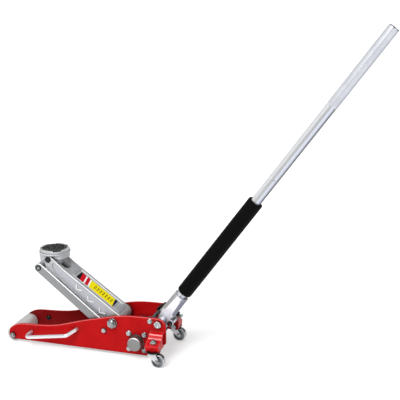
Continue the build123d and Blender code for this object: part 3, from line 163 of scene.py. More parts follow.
@dataclass(frozen=True)
class Finish:
    """A surface finish. Lengths are in millimetres and colours are sRGB hex values.

    swing is how far the roughness goes both ways. grain is the size of the surface's unevenness, and relief is its
    height. edge is the width over which an edge that faces up takes the colour edge_colour, partly as wear and partly
    as a painted highlight. rim is how far the slanted rims of flat bars and plates take that colour as a painted
    highlight where they face up, and crest is how far level tops take it as a painted highlight. grime is how far
    recesses narrower than reach darken as painted shade, down from an open share of unshaded_from.
    centre, turn and stretch place the pattern.
    """

    name: str
    colour: str
    second: str
    metallic: float
    roughness: float
    swing: float
    grain: float
    relief: float
    edge: float
    edge_colour: str = "ffffff"
    edge_share: float = 0.6
    specular: float = 0.5
    rim: float = 0.0
    crest: float = 0.0
    painted_shade: float = 0.0
    reach: float = 18.0
    unshaded_from: float = 0.95
    stretch: Triple = (1.0, 1.0, 1.0)
    turn: Triple = (0.0, 0.0, 0.0)
    centre: Triple = (0.0, 0.0, 0.0)

    def place(self, tree: Tree) -> Link:
        """Give object coordinates, centred, turned and stretched for the pattern.

        Args:
            tree: the material's nodes.

        Returns:
            The coordinates.
        """
        middle = [c * MM for c in self.centre]
        moved = add_node(tree, "VectorMath", (add_node(tree, "TexCoord").outputs["Object"], middle),
                         operation="SUBTRACT")
        about = add_node(tree, "Mapping", {"Vector": moved, "Rotation": self.turn})
        return add_node(tree, "VectorMath", (about, self.stretch), operation="MULTIPLY")

    def pattern(self, tree: Tree, place: Link) -> Link:
        """Give the fine pattern that drives colour, roughness and relief."""
        return add_node(tree, "TexNoise", {"Vector": place, "Scale": 1 / (self.grain * MM), "Detail": 4.0,
                                           "Roughness": 0.6})

    def ground(self, tree: Tree, place: Link, fine: Link) -> Link:
        """Give the ground colour: the fine pattern over broad, slow changes of tone.

        Args:
            tree: the material's nodes.
            place: the pattern's coordinates.
            fine: the fine pattern.

        Returns:
            The colour.
        """
        broad = add_node(tree, "TexNoise", {"Vector": place, "Scale": 1 / (BROAD * MM), "Detail": 3.0})
        both = add_node(tree, "Math", (fine, broad), operation="MULTIPLY")
        return add_node(tree, "ValToRGB", (both,), list(zip(TONE_STOPS, (srgb(self.second), srgb(self.colour)))))

    def marks(self, tree: Tree, place: Link) -> List[Mark]:
        """Give the places on the ground that have a tone of their own, each as a share and a colour."""
        return []

    def wear_and_highlight(self, tree: Tree, rounded: Node) -> Link:
        """Give the wear and painted highlight: edges and slanted rims that face up, and level tops.

        It reads the normal in the piece's own frame, so that the wear and painted highlight stay put when the piece
        moves.

        Args:
            tree: the material's nodes.
            rounded: the node that gives the normal of the rounded edges.

        Returns:
            The share of the edge's colour.
        """
        true_normal = add_node(tree, "NewGeometry").outputs["Normal"]
        along = add_node(tree, "VectorMath", (rounded, true_normal), operation="DOT_PRODUCT")
        edges = add_node(tree, "MapRange", (along, *EDGE_WEAR_AND_HIGHLIGHT, 0.0, self.edge_share))
        facing = add_node(tree, "SeparateXYZ", (add_node(tree, "TexCoord").outputs["Normal"],)).outputs
        across = add_node(tree, "Math", (facing["Y"],), operation="ABSOLUTE")
        slant = add_node(tree, "Math", (across, *RIM_SLANT), operation="COMPARE")
        rims = add_node(tree, "Math", (slant, self.rim), operation="MULTIPLY")
        both = add_node(tree, "Math", (edges, rims), operation="MAXIMUM")
        upward = add_node(tree, "MapRange", (facing["Z"], *LOOKS_UP))
        level = add_node(tree, "MapRange", (facing["Z"], *LIES_LEVEL, 0.0, self.crest))
        share = add_node(tree, "Math", (both, upward), operation="MULTIPLY")
        return add_node(tree, "Math", (share, level), operation="MAXIMUM")

    def shade_recesses(self, tree: Tree, colour: Link) -> Link:
        """Darken a colour with painted shade in recesses, from how little open light reaches them.

        Args:
            tree: the material's nodes.
            colour: the colour without its painted shade.

        Returns:
            The colour with its painted shade.
        """
        if not self.painted_shade:
            return colour
        light = add_node(tree, "AmbientOcclusion", {"Distance": self.reach * MM}, samples=8).outputs["AO"]
        shading = add_node(tree, "MapRange", (light, SHADE_FULL * self.unshaded_from, self.unshaded_from, self.painted_shade, 0.0))
        dark = add_node(tree, "Mix", {SHARE: SHADE_COVER, UNDER: colour, OVER: SHADE_COLOUR}, data_type="RGBA")
        return add_node(tree, "Mix", {SHARE: shading, UNDER: colour, OVER: dark}, data_type="RGBA")

    def make(self) -> bpy.types.Material:
        """Build the finish as a procedural material.

        Returns:
            The material, named after the finish.
        """
        material = bpy.data.materials.new(self.name)
        material.use_nodes = True
        tree = material.node_tree
        place = self.place(tree)
        fine = self.pattern(tree, place)
        rounded = add_node(tree, "Bevel", {"Radius": self.edge * MM}, samples=6)
        tone = self.ground(tree, place, fine)
        for share, colour in self.marks(tree, place) + [(self.wear_and_highlight(tree, rounded), srgb(self.edge_colour))]:
            tone = add_node(tree, "Mix", {SHARE: share, UNDER: tone, OVER: colour}, data_type="RGBA")
        rough = add_node(tree, "MapRange", (fine, *PATTERN_SPAN, self.roughness - self.swing,
                                            self.roughness + self.swing))
        bump = add_node(tree, "Bump", {"Height": fine, "Normal": rounded, "Strength": 1.0,
                                       "Distance": self.relief * MM})
        feed(tree, tree.nodes["Principled BSDF"],
             {"Base Color": self.shade_recesses(tree, tone), "Roughness": rough, "Normal": bump,
              "Metallic": self.metallic, "Specular IOR Level": self.specular})
        return material


@dataclass(frozen=True)
class TurnedFinish(Finish):
    """A finish left by a lathe: fine rings round an axis along Y, through the finish's centre."""

    pitch: float = 1.2

    def pattern(self, tree: Tree, place: Link) -> Link:
        """Give tool rings, a little broken by noise."""
        return add_node(tree, "TexWave", {"Vector": place, "Scale": WAVE_RINGS / (self.pitch * MM),
                                          "Distortion": 1.2, "Detail": 2.0, "Detail Scale": 0.6},
                        wave_type="RINGS", rings_direction="Y").outputs["Fac"]


@dataclass(frozen=True)
class PlateFinish(Finish):
    """Enamel on a side plate. Its inside face, at a distance from the middle, carries painted shade that grows towards
    the nose.
    """

    # The inside face's painted shade: its colour, how far that face lies from the middle and how wide a band it takes,
    # and where the shade starts and where it is full, towards the nose
    inside: str = "7c0a0d"
    inner: float = 60.0
    inner_spread: float = 0.3
    shade_from: float = -180.0
    shade_to: float = -330.0

    def marks(self, tree: Tree, place: Link) -> List[Mark]:
        """Give the painted shade of the inside face.

        Args:
            tree: the material's nodes.
            place: the pattern's coordinates.

        Returns:
            The share of the painted shade, with its colour.
        """
        split = add_node(tree, "SeparateXYZ", (place,)).outputs
        out = add_node(tree, "Math", (split["Y"],), operation="ABSOLUTE")
        face = add_node(tree, "Math", (out, self.inner * MM, self.inner_spread * MM), operation="COMPARE")
        inside_shade = add_node(tree, "MapRange", (split["X"], self.shade_from * MM, self.shade_to * MM))
        return [(add_node(tree, "Math", (face, inside_shade), operation="MULTIPLY"), srgb(self.inside))]


@dataclass(frozen=True)
class WheelFinish(TurnedFinish):
    """A turned wheel with a web of another colour between its hub and its tread, both given by their radii."""

    web: str = "26272a"
    hub: float = 7.5
    tread: float = 15.5

    def marks(self, tree: Tree, place: Link) -> List[Mark]:
        """Give the web's own colour.

        Args:
            tree: the material's nodes.
            place: the pattern's coordinates.

        Returns:
            The share of the web's colour, with that colour.
        """
        flat = add_node(tree, "VectorMath", (place, (1.0, 0.0, 1.0)), operation="MULTIPLY")
        away = add_node(tree, "VectorMath", (flat,), operation="LENGTH")
        middle, half = (self.hub + self.tread) / 2 * MM, (self.tread - self.hub) / 2 * MM
        return [(add_node(tree, "Math", (away, middle, half), operation="COMPARE"), srgb(self.web))]


@dataclass(frozen=True)
class BandFinish(Finish):
    """A finish with other tones at some distances from the middle plane, each given with half its width."""

    bands: Tuple[Tuple[float, float, str], ...] = ()

    def marks(self, tree: Tree, place: Link) -> List[Mark]:
        """Give each band's own tone.

        Args:
            tree: the material's nodes.
            place: the pattern's coordinates.

        Returns:
            Each band's share, with its colour.
        """
        side = add_node(tree, "SeparateXYZ", (place,)).outputs["Y"]
        out = add_node(tree, "Math", (side,), operation="ABSOLUTE")
        return [(add_node(tree, "Math", (out, away * MM, half * MM), operation="COMPARE"), srgb(colour))
                for away, half, colour in self.bands]


@dataclass(frozen=True)
class ArmFinish(BandFinish):
    """The arm's casting, with painted shade deep in the slot of its fork, down to the grey value dark.

    along and up are the directions along the arm and square to its top; slot is the span along it, slot_half is
    half the slot's width, top is the top's height along up, and dark_from and dark_to are depths below that.
    """

    along: Triple = (-0.7826, 0.0, 0.6225)
    up: Triple = (0.5797, 0.0, 0.8148)
    slot: Tuple[float, float] = (445.0, 510.0)
    slot_half: float = 36.2
    top: float = -19.96
    dark_from: float = 14.0
    dark_to: float = 30.0
    dark: float = 0.006

    def marks(self, tree: Tree, place: Link) -> List[Mark]:
        """Give the casting's bands and the painted shade deep in its slot.

        Args:
            tree: the material's nodes.
            place: the pattern's coordinates.

        Returns:
            The share of each band and of the painted shade, with their colours.
        """
        run = add_node(tree, "VectorMath", (place, self.along), operation="DOT_PRODUCT")
        rise = add_node(tree, "VectorMath", (place, self.up), operation="DOT_PRODUCT")
        side = add_node(tree, "SeparateXYZ", (place,)).outputs["Y"]
        low, high = self.slot
        # Painted shade: darker with depth below the arm's top, within the slot's span and width
        share = add_node(tree, "MapRange", (rise, (self.top - self.dark_from) * MM, (self.top - self.dark_to) * MM))
        for value, middle, half in ((run, (low + high) / 2, (high - low) / 2), (side, 0.0, self.slot_half)):
            within = add_node(tree, "Math", (value, middle * MM, half * MM), operation="COMPARE")
            share = add_node(tree, "Math", (share, within), operation="MULTIPLY")
        return super().marks(tree, place) + [(share, grey(self.dark))]


@dataclass(frozen=True)
class FoldFinish(Finish):
    """Enamel on folded sheet, with a painted highlight in a pale line along each fold, at these heights."""

    folds: Tuple[float, ...] = ()
    fold_half: float = 1.2
    fold_up: float = 0.3

    def marks(self, tree: Tree, place: Link) -> List[Mark]:
        """Give a painted highlight line along each fold, where the sheet looks up.

        Args:
            tree: the material's nodes.
            place: the pattern's coordinates.

        Returns:
            Each line's share, with its colour.
        """
        height = add_node(tree, "SeparateXYZ", (place,)).outputs["Z"]
        facing = add_node(tree, "SeparateXYZ", (add_node(tree, "TexCoord").outputs["Normal"],)).outputs["Z"]
        upward = add_node(tree, "Math", (facing, self.fold_up), operation="GREATER_THAN")
        lines = [add_node(tree, "Math", (height, fold * MM, self.fold_half * MM), operation="COMPARE")
                 for fold in self.folds]
        return [(add_node(tree, "Math", (line, upward), operation="MULTIPLY"), srgb(self.edge_colour))
                for line in lines]


@dataclass(frozen=True)
class RoundFinish(Finish):
    """A finish with painted light and shade round a piece, by how far its surface faces along an axis square to the
    piece.

    tones run from the side that faces against the axis, at 0, to the side that faces along it, at 1.
    """

    axis: Triple = (1.0, 0.0, 0.0)
    tones: Tuple[Tuple[float, str], ...] = ()

    def ground(self, tree: Tree, place: Link, fine: Link) -> Link:
        """Give the finish's tone with painted light and shade round the piece.

        Args:
            tree: the material's nodes.
            place: the pattern's coordinates.
            fine: the fine pattern.

        Returns:
            The colour.
        """
        normal = add_node(tree, "TexCoord").outputs["Normal"]
        facing = add_node(tree, "VectorMath", (normal, self.axis), operation="DOT_PRODUCT")
        turn = add_node(tree, "MapRange", (facing, -1.0, 1.0))
        shade = add_node(tree, "ValToRGB", (turn,), [(spot, srgb(code)) for spot, code in self.tones])
        return add_node(tree, "Mix", {SHARE: 1.0, UNDER: super().ground(tree, place, fine), OVER: shade},
                        data_type="RGBA", blend_type="MULTIPLY")


@dataclass(frozen=True)
class FoamFinish(Finish):
    """Closed-cell foam: small dark cells on a skin, with a faint sheen."""

    sheen: float = 0.02
    sheen_roughness: float = 0.5

    def pattern(self, tree: Tree, place: Link) -> Link:
        """Give the cells of the foam's skin."""
        return add_node(tree, "TexVoronoi", {"Vector": place, "Scale": 1 / (self.grain * MM)},
                        feature="SMOOTH_F1")

    def make(self) -> bpy.types.Material:
        """Build the finish and give it the foam's sheen.

        Returns:
            The material, named after the finish.
        """
        material = super().make()
        feed(material.node_tree, material.node_tree.nodes["Principled BSDF"],
             {"Sheen Weight": self.sheen, "Sheen Roughness": self.sheen_roughness})
        return material


@dataclass(frozen=True)
class PrintedFinish(Finish):
    """A printed film: plain blocks of colour laid out on the piece's own UV map, under a clear gloss.

    blocks are places along the film, from 0 to 1, each with the colour that starts there; their ends lean by slant
    both ways. Dots of half the width dot_half, as a share of their pitch, fill dot_row over the film's width and
    dot_span along it, each given as a middle and a half.
    """

    blocks: Tuple[Tuple[float, str], ...] = ()
    slant: float = 0.03
    dot: str = "1d1d1f"
    dot_pitch: float = 11.0
    dot_half: float = 0.30
    dot_row: Tuple[float, float] = (0.5, 0.22)
    dot_span: Tuple[float, float] = (0.34, 0.25)
    length: float = 150.0
    width: float = 46.0

    def ground(self, tree: Tree, place: Link, fine: Link) -> Link:
        """Give the blocks along the film.

        Args:
            tree: the material's nodes.
            place: the pattern's coordinates, which the film has no use for.
            fine: the fine pattern, which only its gloss shows.

        Returns:
            The colour.
        """
        split = add_node(tree, "SeparateXYZ", (add_node(tree, "UVMap"),)).outputs
        slant = add_node(tree, "MapRange", (split["Y"], 0.0, 1.0, -self.slant, self.slant))
        leaning = add_node(tree, "Math", (split["X"], slant), operation="ADD")
        return add_node(tree, "ValToRGB", (leaning,), [(spot, srgb(code)) for spot, code in self.blocks],
                        interpolation="CONSTANT")

    def marks(self, tree: Tree, place: Link) -> List[Mark]:
        """Give the rows of dots on the broad block.

        Args:
            tree: the material's nodes.
            place: the pattern's coordinates, which the film has no use for.

        Returns:
            The dots' share, with their colour.
        """
        uv = add_node(tree, "UVMap")
        split = add_node(tree, "SeparateXYZ", (uv,)).outputs
        count = (self.length / self.dot_pitch, self.width / self.dot_pitch, 0.0)
        cells = add_node(tree, "VectorMath", (uv, count), operation="MULTIPLY")
        within = add_node(tree, "VectorMath", (cells,), operation="FRACTION")
        away = add_node(tree, "VectorMath", (within, (0.5, 0.5, 0.0)), operation="DISTANCE")
        share = add_node(tree, "Math", (away, self.dot_half), operation="LESS_THAN")
        for value, span in ((split["Y"], self.dot_row), (split["X"], self.dot_span)):
            inside = add_node(tree, "Math", (value, *span), operation="COMPARE")
            share = add_node(tree, "Math", (share, inside), operation="MULTIPLY")
        return [(share, srgb(self.dot))]


ARM_TURN = (0.0, math.radians(-38.5), 0.0)
HANDLE_TURN = (0.0, math.radians(-35.9), 0.0)
HANDLE_BACK = (0.81, 0.0, -0.586)
CASTING = {"colour": "bcbec2", "second": "aeb0b4", "metallic": 0.35, "roughness": 0.46, "swing": 0.06, "grain": 0.9,
           "relief": 0.035, "edge": 1.8}
# Edges rubbed bright with a painted highlight where they face up, and painted shade in recesses, for the castings
WEAR_HIGHLIGHT_AND_SHADE = {"edge_share": 0.9, "rim": 1.0, "painted_shade": 0.9, "reach": 30.0, "unshaded_from": 0.56}

# In these finishes, edges that face up take their edge colour partly as wear and partly as a painted highlight, and
# recesses darken as painted shade where a finish asks for it
FINISHES: Tuple[Finish, ...] = (
    # Sprayed gloss enamel on steel: deep red, slight orange peel, with a painted highlight on edges and rims that face
    # up, and painted shade in recesses and on the inside faces
    PlateFinish("gloss_enamel", "be1014", "ae0a0e", metallic=0.0, roughness=0.30, swing=0.05, grain=1.6,
                relief=0.012, edge=1.8, edge_colour="ef6a6c", edge_share=0.8, specular=0.08, rim=0.9, painted_shade=0.7),
    # The same enamel on a folded bracket: its folds catch the light in narrow pale lines
    FoldFinish("folded_enamel", "dc181c", "c81216", metallic=0.0, roughness=0.30, swing=0.05, grain=1.6,
               relief=0.012, edge=2.2, edge_colour="ffa2a4", edge_share=0.9, specular=0.12, painted_shade=0.7,
               folds=(93.5, 84.0)),
    # Sand-cast aluminium, bead blasted: even grey, fine grit, edges rubbed bright with a painted highlight where they
    # face up, pockets in tones of their own, painted shade in recesses
    ArmFinish("cast_aluminium", **CASTING, **WEAR_HIGHLIGHT_AND_SHADE, bands=((40.5, 0.2, "b2b4ba"), (42.7, 0.2, "e8e9ec"))),
    # The same casting on the tray's rim: a painted highlight makes its walls and crest white
    BandFinish("highlit_aluminium", **CASTING, edge_share=0.3, bands=((27.4, 0.6, "ffffff"),)),
    # The same casting on the saddle's bracket: even grey with rubbed edges, a painted highlight where they face up,
    # and painted shade in recesses
    Finish("blasted_aluminium", **CASTING, **WEAR_HIGHLIGHT_AND_SHADE),
    # Rolled steel bar, brushed along its length: grey with fine long scratches
    Finish("brushed_steel", "949597", "88898b", metallic=0.6, roughness=0.42, swing=0.06, grain=1.2, relief=0.008,
           edge=1.6, edge_share=0.9, rim=1.0, stretch=(0.05, 1.0, 1.0), turn=ARM_TURN),
    # Die-cast aluminium, machined and polished: near white facets, with painted shade greying the sides that face
    # forward and back
    RoundFinish("polished_casting", "f2f4fc", "eceef6", metallic=0.30, roughness=0.30, swing=0.05, grain=1.4,
                relief=0.006, edge=1.8, edge_share=0.9, painted_shade=0.6, axis=HANDLE_BACK,
                tones=((0.16, "b4b4b0"), (0.30, "d4d4d2"), (0.36, "ffffff"), (0.64, "ffffff"), (0.70, "b8b8c4"),
                       (0.86, "8e8e9a"))),
    # Drawn aluminium tube, with painted reflection and shade round it: white to the front, a grey streak, then a cool
    # pale band and a dark underside
    RoundFinish("drawn_aluminium", "f4f5f8", "eaecf0", metallic=0.45, roughness=0.26, swing=0.05, grain=1.0,
                relief=0.004, edge=0.6, edge_share=0.5, stretch=(1.0, 1.0, 0.03), turn=HANDLE_TURN,
                axis=HANDLE_BACK,
                tones=((0.04, "f0f0f0"), (0.14, "ffffff"), (0.22, "f0f0f0"), (0.32, "d2d2d2"), (0.45, "aeaeac"),
                       (0.54, "b8b8b7"), (0.64, "d8dce8"), (0.73, "e2e6f2"), (0.80, "d2d6e2"), (0.90, "7e7f85"),
                       (1.0, "5a5b60"))),
    # Rolled diamond knurl on the tube: matt, frosted, nearly white, with painted light and shade round it
    RoundFinish("knurled_aluminium", "e2e4ea", "ced1d8", metallic=0.50, roughness=0.46, swing=0.05, grain=0.6,
                relief=0.020, edge=0.5, axis=HANDLE_BACK,
                tones=((0.14, "ffffff"), (0.28, "d4d4d4"), (0.46, "d4d4d6"), (0.60, "e8e8ea"), (0.80, "fafafc"),
                       (0.97, "dcdce2"))),
    # Bright zinc plating on steel: cool grey with a cloudy spangle, rubbed edges with a painted highlight where they
    # face up, and painted shade in the recesses round each piece
    Finish("bright_zinc", "c6cacc", "6a6e70", metallic=1.0, roughness=0.20, swing=0.08, grain=2.6, relief=0.020,
           edge=0.7, edge_colour="f4f6f4", edge_share=0.7, painted_shade=0.9, reach=8.0),
    # Polished round bar: mirror bright with soft handling marks, its stud ends inside the plates dark
    BandFinish("polished_bar", "f0f2f6", "dadde3", metallic=0.70, roughness=0.20, swing=0.05, grain=2.4,
               relief=0.005, edge=0.5, edge_share=0.5, bands=((0.0, 60.4, "17181a"),)),
    # Black oxide on steel: nearly black, oily satin
    Finish("black_oxide", "17181a", "0d0e0f", metallic=0.45, roughness=0.34, swing=0.07, grain=1.2, relief=0.010,
           edge=0.5, edge_colour="55585c"),
    # Machined steel of the hydraulic unit: grey, with lathe rings drawn coarse enough to show
    TurnedFinish("machined_steel", "929392", "7c7d7c", metallic=0.6, roughness=0.36, swing=0.08, grain=1.0,
                 relief=0.010, edge=1.2, edge_share=0.9, rim=0.9, painted_shade=0.9, centre=(-147.22, 0.0, 56.5), pitch=1.6),
    # Ground and chromed rod: clean mirror grey
    Finish("ground_chrome", "dcdfe3", "c4c7cb", metallic=1.0, roughness=0.12, swing=0.04, grain=1.0, relief=0.003,
           edge=0.6, edge_share=0.7, painted_shade=0.9),
    # Turned steel roller: satin silver with rings round the axle, drawn coarse enough to show
    TurnedFinish("turned_roller", "e6e6e4", "cacac8", metallic=0.4, roughness=0.32, swing=0.09, grain=1.0,
                 relief=0.012, edge=0.8, edge_share=0.7, centre=(-584.72, 0.0, 25.5), pitch=2.4),
    # Plated caster wheel: bright tread and hub with a darker web between them
    WheelFinish("plated_wheel", "d6d8da", "a4a8aa", metallic=0.95, roughness=0.22, swing=0.08, grain=1.0,
                relief=0.010, edge=0.8, edge_share=0.7, painted_shade=0.6, centre=(-60.72, 0.0, 21.5), pitch=1.8,
                web="95979b"),
    # Cast steel saddle with a machined rim: silver, white on its level tops as a painted highlight, a little rough in
    # the casting
    Finish("cast_steel", "c4c6ca", "a8aaaf", metallic=0.6, roughness=0.36, swing=0.08, grain=1.1, relief=0.020,
           edge=1.4, edge_share=0.9, crest=0.9, painted_shade=0.8),
    # Sintered bronze bush: warm dull yellow
    Finish("sintered_bronze", "b58a4a", "96703a", metallic=0.9, roughness=0.42, swing=0.06, grain=0.8, relief=0.010,
           edge=0.5, edge_colour="d9b574"),
    # Moulded nitrile rubber: charcoal with pale raised edges where they face up, a painted highlight
    Finish("moulded_rubber", "141517", "0c0d0e", metallic=0.0, roughness=0.62, swing=0.08, grain=0.7, relief=0.020,
           edge=0.9, edge_colour="e6e8ea", edge_share=1.0, specular=0.2),
    # Closed-cell foam sleeve: soft black with fine cells and a faint sheen
    FoamFinish("cell_foam", "040405", "020203", metallic=0.0, roughness=0.62, swing=0.06, grain=1.3, relief=0.09,
               edge=1.0, edge_colour="0c0d0f", edge_share=0.5, specular=0.06),
    # Printed vinyl film: flat blocks of colour under a clear gloss
    PrintedFinish("printed_film", "ffffff", "ffffff", metallic=0.0, roughness=0.32, swing=0.04, grain=0.8,
                  relief=0.004, edge=0.3, edge_share=0.0, specular=0.10,
                  blocks=((0.0, "0c1240"), (0.045, "ffec00"), (0.685, "ffffff"), (0.72, "d4061e"),
                          (0.80, "ffffff"), (0.835, "d4061e"), (0.93, "0c0c0e"))),
)

NODE_FINISHES: Dict[str, Tuple[str, ...]] = {
    "gloss_enamel": ("side_plate_left", "side_plate_right"),
    "folded_enamel": ("caster_bracket_left", "caster_bracket_right"),
    "polished_bar": ("carry_handle_left", "carry_handle_right"),
    "cast_aluminium": ("lift_arm",),
    "blasted_aluminium": ("saddle_bracket",),
    "brushed_steel": ("link_left", "link_right"),
    "polished_casting": ("handle_socket",),
    "drawn_aluminium": ("handle_lower_tube", "handle_upper_tube"),
    "bright_zinc": ("front_axle", "front_axle_nuts", "lift_pivot_shaft", "lift_pivot_nuts", "link_pivot_pins",
                    "link_spacers", "link_pivot_nuts", "base_bolts", "socket_pivot_bolts", "cross_rod",
                    "cross_rod_bolts", "caster_bracket_bolts", "caster_kingpins", "caster_nuts",
                    "caster_axle_left", "caster_axle_right", "saddle_link_pin", "saddle_link_caps", "lock_bolt",
                    "pump_pin", "crank_pin", "snap_button"),
    "black_oxide": ("saddle_pivot_pins", "lock_nut", "carry_handle_nuts", "pump_pin_clips", "pump_barrel",
                    "handle_spring", "caster_races", "saddle_ring"),
    "machined_steel": ("hydraulic_base", "ram_cylinder", "gland_nut", "release_valve", "release_fork"),
    "ground_chrome": ("ram", "pump_plunger", "pump_roller", "caster_fork_left", "caster_fork_right"),
    "turned_roller": ("front_roller",),
    "plated_wheel": ("caster_wheel_left", "caster_wheel_right"),
    "cast_steel": ("saddle",),
    "sintered_bronze": ("arm_bushes",),
    "moulded_rubber": ("saddle_pad",),
    "cell_foam": ("foam_grip",),
}


class Paintbox:
    """Makes each finish once and puts it on CAD nodes and new pieces."""

    def __init__(self) -> None:
        """Build every finish."""
        self.materials = {finish.name: finish.make() for finish in FINISHES}

    def paint(self, obj: Piece, finish: str) -> None:
        """Give an object one finish all over."""
        obj.data.materials.clear()
        obj.data.materials.append(self.materials[finish])

    def paint_nodes(self) -> None:
        """Give every CAD node its finish."""
        for finish, nodes in NODE_FINISHES.items():
            for node in nodes:
                self.paint(frame["nodes"][node], finish)

    def dress(self, obj: Piece, body: str, finish: str, *nodes: str) -> None:
        """Paint a finished piece, let it ride on its body, and log it.

        Args:
            obj: the finished mesh.
            body: the CAD body that carries it.
            finish: the finish's name.
            nodes: CAD nodes that the piece stands for.
        """
        self.paint(obj, finish)
        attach(obj, body)
        if nodes:
            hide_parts(*nodes)
        log.info("%s: %d faces on %s", obj.name, len(obj.data.polygons), body)


# Shop tools: the few operations that the pieces share

# How far the normal of a flat top points up, at least
FLAT_TOP = 0.9


def clear_selection() -> None:
    """Deselect everything, so that the next operator acts on the new piece alone."""
    if bpy.context.mode != "OBJECT":
        bpy.ops.object.mode_set(mode="OBJECT")
    bpy.ops.object.select_all(action="DESELECT")


def take(obj: Piece) -> None:
    """Make an object the only selected one, and the active one.

    Args:
        obj: the object to take.
    """
    clear_selection()
    obj.select_set(True)
    bpy.context.view_layer.objects.active = obj


class Element(Enum):
    """What is picked on a mesh, by the name of its select mode."""

    FACES = "FACE"
    POINTS = "VERT"


def pick(obj: Piece, kind: Element, test: Callable[..., bool]) -> None:
    """Go to edit mode with some of an object's faces or points selected.

    Args:
        obj: the object to edit.
        kind: faces or points.
        test: tells whether one of them is picked.
    """
    take(obj)
    bpy.ops.object.mode_set(mode="EDIT")
    bpy.ops.mesh.select_mode(type=kind.value)
    bpy.ops.mesh.select_all(action="DESELECT")
    bpy.ops.object.mode_set(mode="OBJECT")
    for item in obj.data.polygons if kind is Element.FACES else obj.data.vertices:
        item.select = test(item)
    bpy.ops.object.mode_set(mode="EDIT")


def apply_modifier(obj: Piece, kind: str, **settings) -> Piece:
    """Add a modifier to an object and apply it.

    Args:
        obj: the object to change.
        kind: the modifier's type.
        settings: properties of the modifier.

    Returns:
        The same object.
    """
    take(obj)
    bpy.ops.object.modifier_add(type=kind)
    modifier = obj.modifiers[-1]
    for name, value in settings.items():
        setattr(modifier, name, value)
    bpy.ops.object.modifier_apply(modifier=modifier.name)
    return obj


def settle(obj: Piece, angle: float = 32.0, gap: float = 0.002) -> Piece:
    """Merge doubles, turn the faces outwards and smooth all edges below an angle.

    Args:
        obj: a mesh object with closed seams.
        angle: edges sharper than this many degrees stay sharp.
        gap: points closer than this many millimetres are one.

    Returns:
        The same object.
    """
    take(obj)
    bpy.ops.object.mode_set(mode="EDIT")
    bpy.ops.mesh.select_mode(type=Element.POINTS.value)
    bpy.ops.mesh.select_all(action="SELECT")
    bpy.ops.mesh.remove_doubles(threshold=gap * MM)
    bpy.ops.mesh.normals_make_consistent(inside=False)
    bpy.ops.object.mode_set(mode="OBJECT")
    bpy.ops.object.shade_smooth_by_angle(angle=math.radians(angle))
    return obj


def turned(name: str, profile: Steps, segments: int = 48, ring: bool = False) -> Piece:
    """Turn a profile about Z, as on a lathe, by extruding a circle from step to step.

    Args:
        name: the object's name.
        profile: (along, radius) steps in millimetres.
        segments: faces round the piece.
        ring: True for a profile that closes on itself, False for one that is capped at both ends.

    Returns:
        The turned piece, standing on the origin.
    """
    clear_selection()
    start, radius = profile[0]
    bpy.ops.mesh.primitive_circle_add(vertices=segments, radius=radius * MM)
    obj = bpy.context.object
    obj.name = name
    bpy.ops.object.mode_set(mode="EDIT")
    bpy.ops.mesh.select_all(action="SELECT")
    bpy.ops.transform.translate(value=(0.0, 0.0, start * MM))
    for (low, before), (high, after) in pairwise(profile):
        bpy.ops.mesh.extrude_edges_move(TRANSFORM_OT_translate={"value": (0.0, 0.0, (high - low) * MM)})
        if after != before:
            share = after / before
            bpy.ops.transform.resize(value=(share, share, 1.0), center_override=(0.0, 0.0, high * MM))
    if not ring:
        bpy.ops.mesh.edge_face_add()
        pick(obj, Element.POINTS, lambda vertex: vertex.index < segments)
        bpy.ops.mesh.edge_face_add()
    return settle(obj)


def threaded(low: float, high: float, radius: float, pitch: float = 1.5) -> Steps:
    """Give the profile of a thread.

    Args:
        low: where the thread starts, in millimetres.
        high: where it ends.
        radius: the outer radius.
        pitch: the distance between crests.

    Returns:
        (along, radius) steps.
    """
    root, flat, runout = radius - 0.55 * pitch, 0.12 * pitch, 0.4 * pitch
    steps = [(low, root)]
    for index in range(max(1, int((high - low - runout) / pitch))):
        crest = low + (index + 0.5) * pitch
        steps += [(crest, radius), (crest + flat, radius), (low + (index + 1) * pitch, root)]
    return steps


def hex_body(name: str, flats: float, low: float, high: float, bore: float = 0.0, both_ends: bool = False) -> Piece:
    """Cut a hexagon with the rounded chamfer of a bolt head or nut.

    Args:
        name: the object's name.
        flats: width across flats in millimetres.
        low: where the hexagon starts along Z.
        high: where it ends.
        bore: radius of a hole through it, or 0.
        both_ends: True to chamfer the lower end too, as on a plain nut.

    Returns:
        The hexagon, standing on the origin.
    """
    inner, outer, slope, spare = 0.47 * flats, 0.64 * flats, math.radians(28), 1.2
    drop = (outer - inner) * math.tan(slope)
    foot = [(low, inner), (low + drop, outer)] if both_ends else [(low, outer)]
    steps = foot + [(high - drop, outer), (high, inner)]
    if bore:
        steps = [(low, bore)] + steps + [(high, bore), (low, bore)]
    lens = turned(name + "_lens", steps, segments=72, ring=bool(bore))
    clear_selection()
    bpy.ops.mesh.primitive_cylinder_add(vertices=6, radius=flats / math.sqrt(3) * MM,
                                        depth=(high - low) * spare * MM,
                                        location=(0.0, 0.0, (low + high) / 2 * MM))
    obj = bpy.context.object
    obj.name = name
    bpy.ops.object.transform_apply(location=True, rotation=True, scale=True)
    apply_modifier(obj, "BOOLEAN", operation="INTERSECT", solver="EXACT", object=lens)
    bpy.data.objects.remove(lens)
    return settle(obj, angle=20.0)


def dish(obj: Piece, inset: float, depth: float) -> Piece:
    """Sink the middle of a bolt head's top face.

    Args:
        obj: a head that stands along Z.
        inset: width of the rim that stays, in millimetres.
        depth: how far the middle sinks.

    Returns:
        The same object.
    """
    top = max(vertex.co.z for vertex in obj.data.vertices) - 0.01 * MM
    pick(obj, Element.FACES, lambda face: face.normal.z > FLAT_TOP and face.center.z > top)
    bpy.ops.mesh.inset(thickness=inset * MM, depth=0.0)
    bpy.ops.mesh.inset(thickness=0.5 * inset * MM, depth=-depth * MM)
    return settle(obj, angle=24.0)


